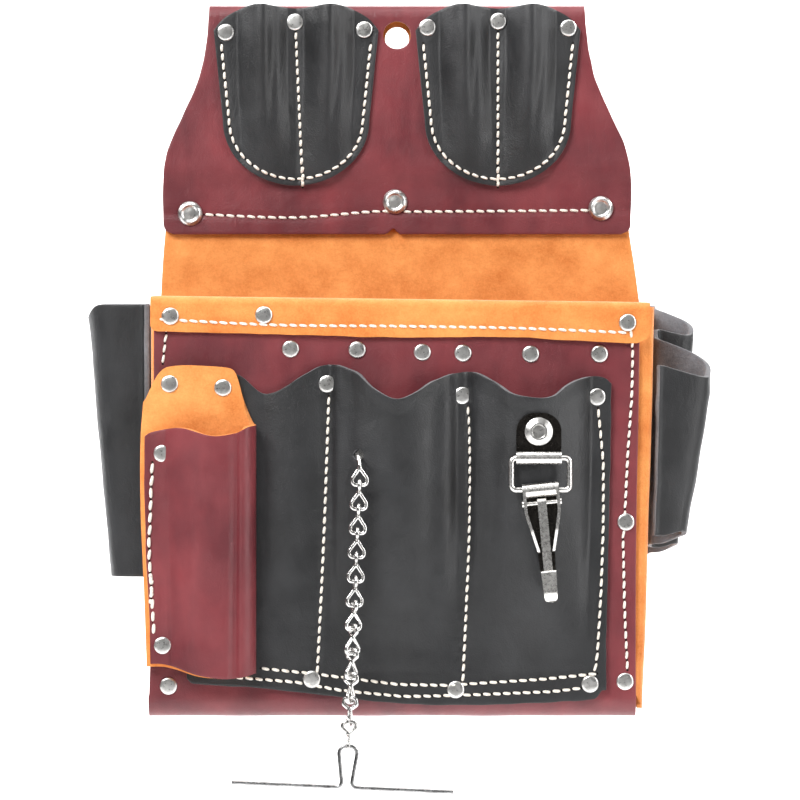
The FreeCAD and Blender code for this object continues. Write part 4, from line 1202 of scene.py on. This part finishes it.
@dataclass
class Sewing:
    """All the visible thread, with painted shade for the needle holes between the stitches."""

    finishes: Finishes
    tunnel: BeltTunnel
    bag: Bag
    pockets: FrontPockets
    sheath: ToolSheath
    top_pockets: list[TopPocket]

    @staticmethod
    def stations(seam: Seam) -> list[Vector]:
        """Return the needle holes along a seam, as (x, 0, z)."""
        corners = [Vector((x, 0, z)) for x, z in seam.points]
        rough = []
        for start, end in zip(corners, corners[1:]):
            count = max(2, int((end - start).length / 0.8))
            rough += [start.lerp(end, i / count) for i in range(count)]
        rough.append(corners[-1])
        length = sum((b - a).length for a, b in zip(rough, rough[1:]))
        count = max(1, round(length / seam.pitch))
        return [along(rough, i / count)[0] for i in range(count + 1)]

    @staticmethod
    def stitch(shape: bmesh.types.BMesh, start: Vector, end: Vector, width: float, lift: float) -> None:
        """Lay one stitch: a plump strand that rises from one hole and goes down into the next."""
        direction = end - start
        forward = direction.normalized()
        side = forward.cross(FRONT).normalized()
        up = side.cross(forward).normalized()
        up = up if up.y < 0 else -up
        made = bmesh.ops.create_grid(shape, x_segments=6, y_segments=6, size=0.5)["verts"]
        for vertex in made:
            around, share = (vertex.co.x + 0.5) * 2 * math.pi, vertex.co.y + 0.5
            swell = math.sin(math.pi * share)
            radius = width / 2 * (0.34 + 0.66 * max(0.0, swell) ** 0.30)
            rise = lift * max(0.0, swell) ** 0.5 - 0.35 * (1 - swell)
            vertex.co = (start + direction * share + up * (rise + radius * 0.8 * math.sin(around))
                         + side * radius * math.cos(around))
        bmesh.ops.remove_doubles(shape, verts=made, dist=0.001)

    @staticmethod
    def hole(shape: bmesh.types.BMesh, place: Vector, size: float) -> None:
        """Press one needle hole: a shallow dark dish just above the leather, painted shade that stands for
        the hole.
        """
        made = bmesh.ops.create_circle(shape, cap_ends=True, segments=7, radius=size)["verts"]
        turn = Matrix.Rotation(math.radians(90), 3, "X")
        for vertex in made:
            vertex.co = place + turn @ vertex.co

    def seams(self) -> list[tuple[str, list[Seam]]]:
        """Return every seam, grouped by the leather it is on."""
        tunnel, pockets, bag, sheath = self.tunnel, self.pockets, self.bag, self.sheath
        across_tunnel = [(x, tunnel.seam_height(x)) for x in range(-99, 100, 6)]
        binding = [(x, bag.binding_seam(x)) for x in range(-119, 121, 6)]
        right = [(116.4, -150.5), (117.6, -156), (117.8, -164), (117.4, -184), (115.4, -212), (114.2, -237),
                 (113.0, -256), (113.8, -292), (115.2, -321)]
        left = [(-114.6, -147.5), (-115.8, -156), (-117.0, -168)]
        one = [(pockets.seam(1, z), z) for z in range(-184, -332, -6)]
        two = [(pockets.seam(2, z), z) for z in range(-189, -330, -6)]
        edge = [(100.4, -190), (103.0, -217), (103.0, -247), (101.9, -281), (100.0, -314), (98.6, -322)]
        upper = [(-68, -320.0), (-45, -322.3), (-29, -324.3), (0.5, -328.0), (24, -328.5), (56, -326.5),
                 (73, -325.4), (100, -322.6)]
        lower = [(-101, -322.3), (-80, -324.5), (-49, -327.0), (-28, -331.0), (3, -334.0), (17, -333.8),
                 (38, -333.2), (79, -331.5), (92, -329.8)]
        ragged = [(-121.8, -217), (-122.6, -236), (-123.6, -262), (-122.2, -280), (-121.0, -303)]
        knot = [(-122.9, -272), (-121.9, -279), (-122.8, -288)]
        on_pocket = pockets.front_y
        groups = [
            ("tunnel_thread", [Seam(across_tunnel, tunnel.front_y, 5.4, 1.55)]),
            ("binding_thread", [Seam(binding, bag.binding_y, 5.0, 1.45)]),
            ("front_thread", [Seam(right, bag.edge_y, 5.0, 1.4), Seam(left, bag.edge_y, 5.0, 1.4)]),
            ("pocket_thread", [Seam(one, on_pocket), Seam(two, on_pocket), Seam(edge, on_pocket, 5.2, 1.4),
                               Seam(upper, on_pocket), Seam(lower, on_pocket)]),
            ("sheath_thread", [Seam(ragged, sheath.seam_y, 6.0, 1.7, 0.9),
                               Seam(knot, sheath.seam_y, 3.4, 1.8, 1.6)])]
        for pocket in self.top_pockets:
            groups.append((f"{pocket.name}_thread", self.shield_seams(pocket)))
        return groups

    @staticmethod
    def shield_seams(pocket: TopPocket) -> list[Seam]:
        """Return the seam round a top pocket and the one down its middle."""
        inset = 3.2
        edge = []
        for step in range(9):
            z = blend_between(-3.0, pocket.hips, step / 8)
            half = blend_between(pocket.waist, pocket.half, (z - pocket.hips) / 46.5) - inset
            edge.append((pocket.centre - half, z))
        for step in range(1, 30):
            angle = math.pi * (1 - step / 30)
            edge.append((pocket.centre + (pocket.waist - inset) * math.cos(angle),
                         pocket.hips - (pocket.hips - pocket.bottom - inset) * math.sin(angle)))
        edge += [(2 * pocket.centre - x, z) for x, z in reversed(edge[:9])]
        lean = 0.045 if pocket.centre < 0 else 0.0
        middle = [(pocket.centre - lean * z, z) for z in range(3, -76, -6)]
        end = pocket.centre + 76 * lean
        tied = [(end - 0.4, -66.0), (end + 0.3, -71.0), (end, -77.0)]
        on = pocket.front_y
        return [Seam(edge, on, 4.8, 1.45), Seam(middle, on, 4.7, 1.45), Seam(tied, on, 3.6, 1.6, 0.8)]

    def sew(self, name: str, seams: list[Seam], slot: str) -> list[bpy.types.Object]:
        """Sew one group of seams: the thread and the painted shade of its needle holes."""
        thread, holes = bmesh.new(), bmesh.new()
        for number, seam in enumerate(seams):
            spots = self.stations(seam)
            for index, (a, b) in enumerate(zip(spots, spots[1:])):
                ahead = (b - a).normalized()
                gap, slant = ahead * 0.40, Vector((-ahead.z, 0, ahead.x)) * 0.26
                start, end = a + gap + slant, b - gap - slant
                for point in (start, end):
                    point.y = seam.depth(point.x, point.z) - 0.05
                stray = seam.loose * waves(index, number, 0, 1.3)
                sway = Vector((0.16 * waves(index, number, 4, 1.1) + stray, 0, 0))
                plump = seam.width * (1 + 0.10 * waves(index, 3, number, 1.2))
                self.stitch(thread, start + sway, end - sway * 0.6, plump, 0.42 + 0.3 * seam.loose)
            # Each needle hole gets a disc of painted shade.
            for spot in spots:
                place = Vector((spot.x, seam.depth(spot.x, spot.z) - 0.09, spot.z))
                self.hole(holes, place, 0.62)
        bmesh.ops.recalc_face_normals(thread, faces=thread.faces)
        made = [add_piece(name, thread, self.finishes.of(THREAD), slot)]
        if name == "binding_thread":
            holes.free()
        else:
            made.append(add_piece(f"{name}_holes", holes, [self.finishes.made["needle_hole_shade"]], slot))
        return made

    def build(self) -> list[bpy.types.Object]:
        """Sew every seam."""
        slots = {"tunnel_thread": BURGUNDY.slot, "binding_thread": TAN.slot, "front_thread": BURGUNDY.slot,
                 "sheath_thread": BURGUNDY.slot}
        made = []
        for name, seams in self.seams():
            made += self.sew(name, seams, slots.get(name, BLACK.slot))
        return made


# ---------------------------------------------------------------- hardware

@dataclass
class Hardware:
    """The chain, the tape bar and the clip keep their own CAD shapes and get their plating here."""

    finishes: Finishes

    def build(self) -> None:
        """Plate every metal CAD node."""
        # The clip and snap plating carries painted shade on its parts lying further back.
        plating = {"clip_": CLIP, "snap_": CLIP, "chain_": CHAIN, "tape_": BAR}
        for name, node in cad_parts.items():
            for start, finish in plating.items():
                if name.startswith(start):
                    self.dress(node, NICKEL if name == "clip_rivet" else finish)

    def dress(self, node: bpy.types.Object, finish: MetalFinish) -> None:
        """Give a CAD node a plated finish."""
        material = self.finishes.made[finish.name]
        if not node.material_slots:
            node.data.materials.append(material)
        for material_slot in node.material_slots:
            material_slot.material = material


# ---------------------------------------------------------------- studio

@dataclass
class Studio:
    """A pale floor and backdrop, soft lights and the camera."""

    distance: float = 2.40
    front_depth: float = -0.070
    lens: float = 216.0
    aim: tuple[float, float] = (0.00154, -0.18603)
    floor: float = -0.75
    paper: float = 0.97
    air: float = 0.12

    def material(self, name: str, shade: float) -> bpy.types.Material:
        """Make plain pale paper."""
        nodes = Nodes(name)
        nodes.set(Roughness=0.9, Specular_IOR_Level=0.1)
        nodes.shader.inputs["Base Color"].default_value = (shade, shade, shade, 1)
        return nodes.material

    @staticmethod
    def clear_from_behind(paper: bpy.types.Material) -> None:
        """Let the camera look through the back of the paper, so that the pouch shows from every side."""
        tree = paper.node_tree
        surface = next(n for n in tree.nodes if n.type == "OUTPUT_MATERIAL").inputs["Surface"]
        shader = surface.links[0].from_socket
        side = tree.nodes.new("ShaderNodeNewGeometry")
        clear = tree.nodes.new("ShaderNodeBsdfTransparent")
        mix = tree.nodes.new("ShaderNodeMixShader")
        tree.links.new(side.outputs["Backfacing"], mix.inputs[0])
        tree.links.new(shader, mix.inputs[1])
        tree.links.new(clear.outputs[0], mix.inputs[2])
        tree.links.new(mix.outputs[0], surface)

    def sweep(self) -> bpy.types.Object:
        """Make the floor and the backdrop as one curved sheet."""
        depth, height, bend, width = 2.6, 3.2, 0.5, 3.6
        wall_y = 1.3
        path = [Vector((-depth, self.floor)), Vector((wall_y - bend, self.floor))]
        path += arc((wall_y - bend, self.floor + bend), bend, -90, 0, 12)[1:]
        path.append(Vector((wall_y, height)))
        shape = bmesh.new()
        verts = [shape.verts.new((-width, p.x, p.y)) for p in path]
        edges = [shape.edges.new(pair) for pair in zip(verts, verts[1:])]
        bmesh.ops.extrude_edge_only(shape, edges=edges)
        shape.verts.ensure_lookup_table()
        for vertex in list(shape.verts)[len(path):]:
            vertex.co.x = width
        mesh = bpy.data.meshes.new("paper_sweep")
        shape.to_mesh(mesh)
        shape.free()
        mesh.shade_smooth()
        paper = self.material("studio_paper", self.paper)
        self.clear_from_behind(paper)
        mesh.materials.append(paper)
        sweep = bpy.data.objects.new("paper_sweep", mesh)
        bpy.context.scene.collection.objects.link(sweep)
        return sweep

    @staticmethod
    def light(name: str, place: tuple[float, ...], aim: tuple[float, ...], power: float,
              size: tuple[float, float]) -> None:
        """Hang one soft light."""
        lamp = bpy.data.lights.new(name, "AREA")
        lamp.shape = "RECTANGLE"
        lamp.size, lamp.size_y = size
        lamp.energy = power
        holder = bpy.data.objects.new(name, lamp)
        holder.location = place
        holder.rotation_euler = (Vector(aim) - Vector(place)).to_track_quat("-Z", "Y").to_euler()
        bpy.context.scene.collection.objects.link(holder)

    def camera(self) -> None:
        """Set up the camera, level and in front of the pouch."""
        lens = bpy.data.cameras.new("camera")
        lens.lens = self.lens
        lens.sensor_width = 36.0
        lens.clip_end = 20
        holder = bpy.data.objects.new("camera", lens)
        holder.location = (self.aim[0], self.front_depth - self.distance, self.aim[1])
        holder.rotation_euler = (math.radians(90), 0, 0)
        bpy.context.scene.collection.objects.link(holder)
        bpy.context.scene.camera = holder

    def build(self) -> None:
        """Build the studio."""
        self.sweep()
        target = (0.0, -0.03, -0.18)
        self.light("key_box", (-0.75, -1.15, 0.85), target, 36, (0.8, 0.8))
        self.light("fill_box", (1.35, -0.95, 0.15), target, 13, (0.6, 1.4))
        self.light("top_box", (0.1, -0.25, 1.25), target, 10, (1.3, 0.5))
        self.light("back_box", (0.5, 1.1, 1.0), target, 4, (1.0, 0.6))
        self.light("paper_left", (-1.3, 0.35, 0.9), (0.2, 1.3, 0.0), 38, (1.0, 1.0))
        self.light("paper_right", (1.3, 0.35, 0.9), (-0.2, 1.3, 0.0), 38, (1.0, 1.0))
        world = bpy.data.worlds.new("studio_air")
        world.use_nodes = True
        air = world.node_tree.nodes["Background"]
        air.inputs["Color"].default_value = (1, 1, 1, 1)
        ray = world.node_tree.nodes.new("ShaderNodeLightPath")
        strength = world.node_tree.nodes.new("ShaderNodeMapRange")
        strength.inputs["To Min"].default_value = self.air
        world.node_tree.links.new(ray.outputs["Is Camera Ray"], strength.inputs["Value"])
        world.node_tree.links.new(strength.outputs["Result"], air.inputs["Strength"])
        bpy.context.scene.world = world
        bpy.context.scene.view_settings.view_transform = "Standard"
        self.camera()


# ---------------------------------------------------------------- the whole pouch

def main() -> None:
    """Build every sub-assembly in order."""
    logging.basicConfig(level=logging.INFO, format="%(message)s")
    finishes = Finishes()
    tunnel, bag, pockets = BeltTunnel(finishes), Bag(finishes), FrontPockets(finishes)
    sheath = ToolSheath(finishes)
    top_pockets = [TopPocket(finishes), TopPocket(finishes, "right_top_pocket", 51.8)]
    tunnel.build()
    bag.build()
    pockets.build()
    for pocket in top_pockets:
        pocket.build()
    sheath.build()
    SideHolders(finishes).build()
    LoopStrip(finishes).build()
    Rivets(finishes).build()
    Sewing(finishes, tunnel, bag, pockets, sheath, top_pockets).build()
    Hardware(finishes).build()
    Studio().build()


if __name__ == "__main__":
    main()
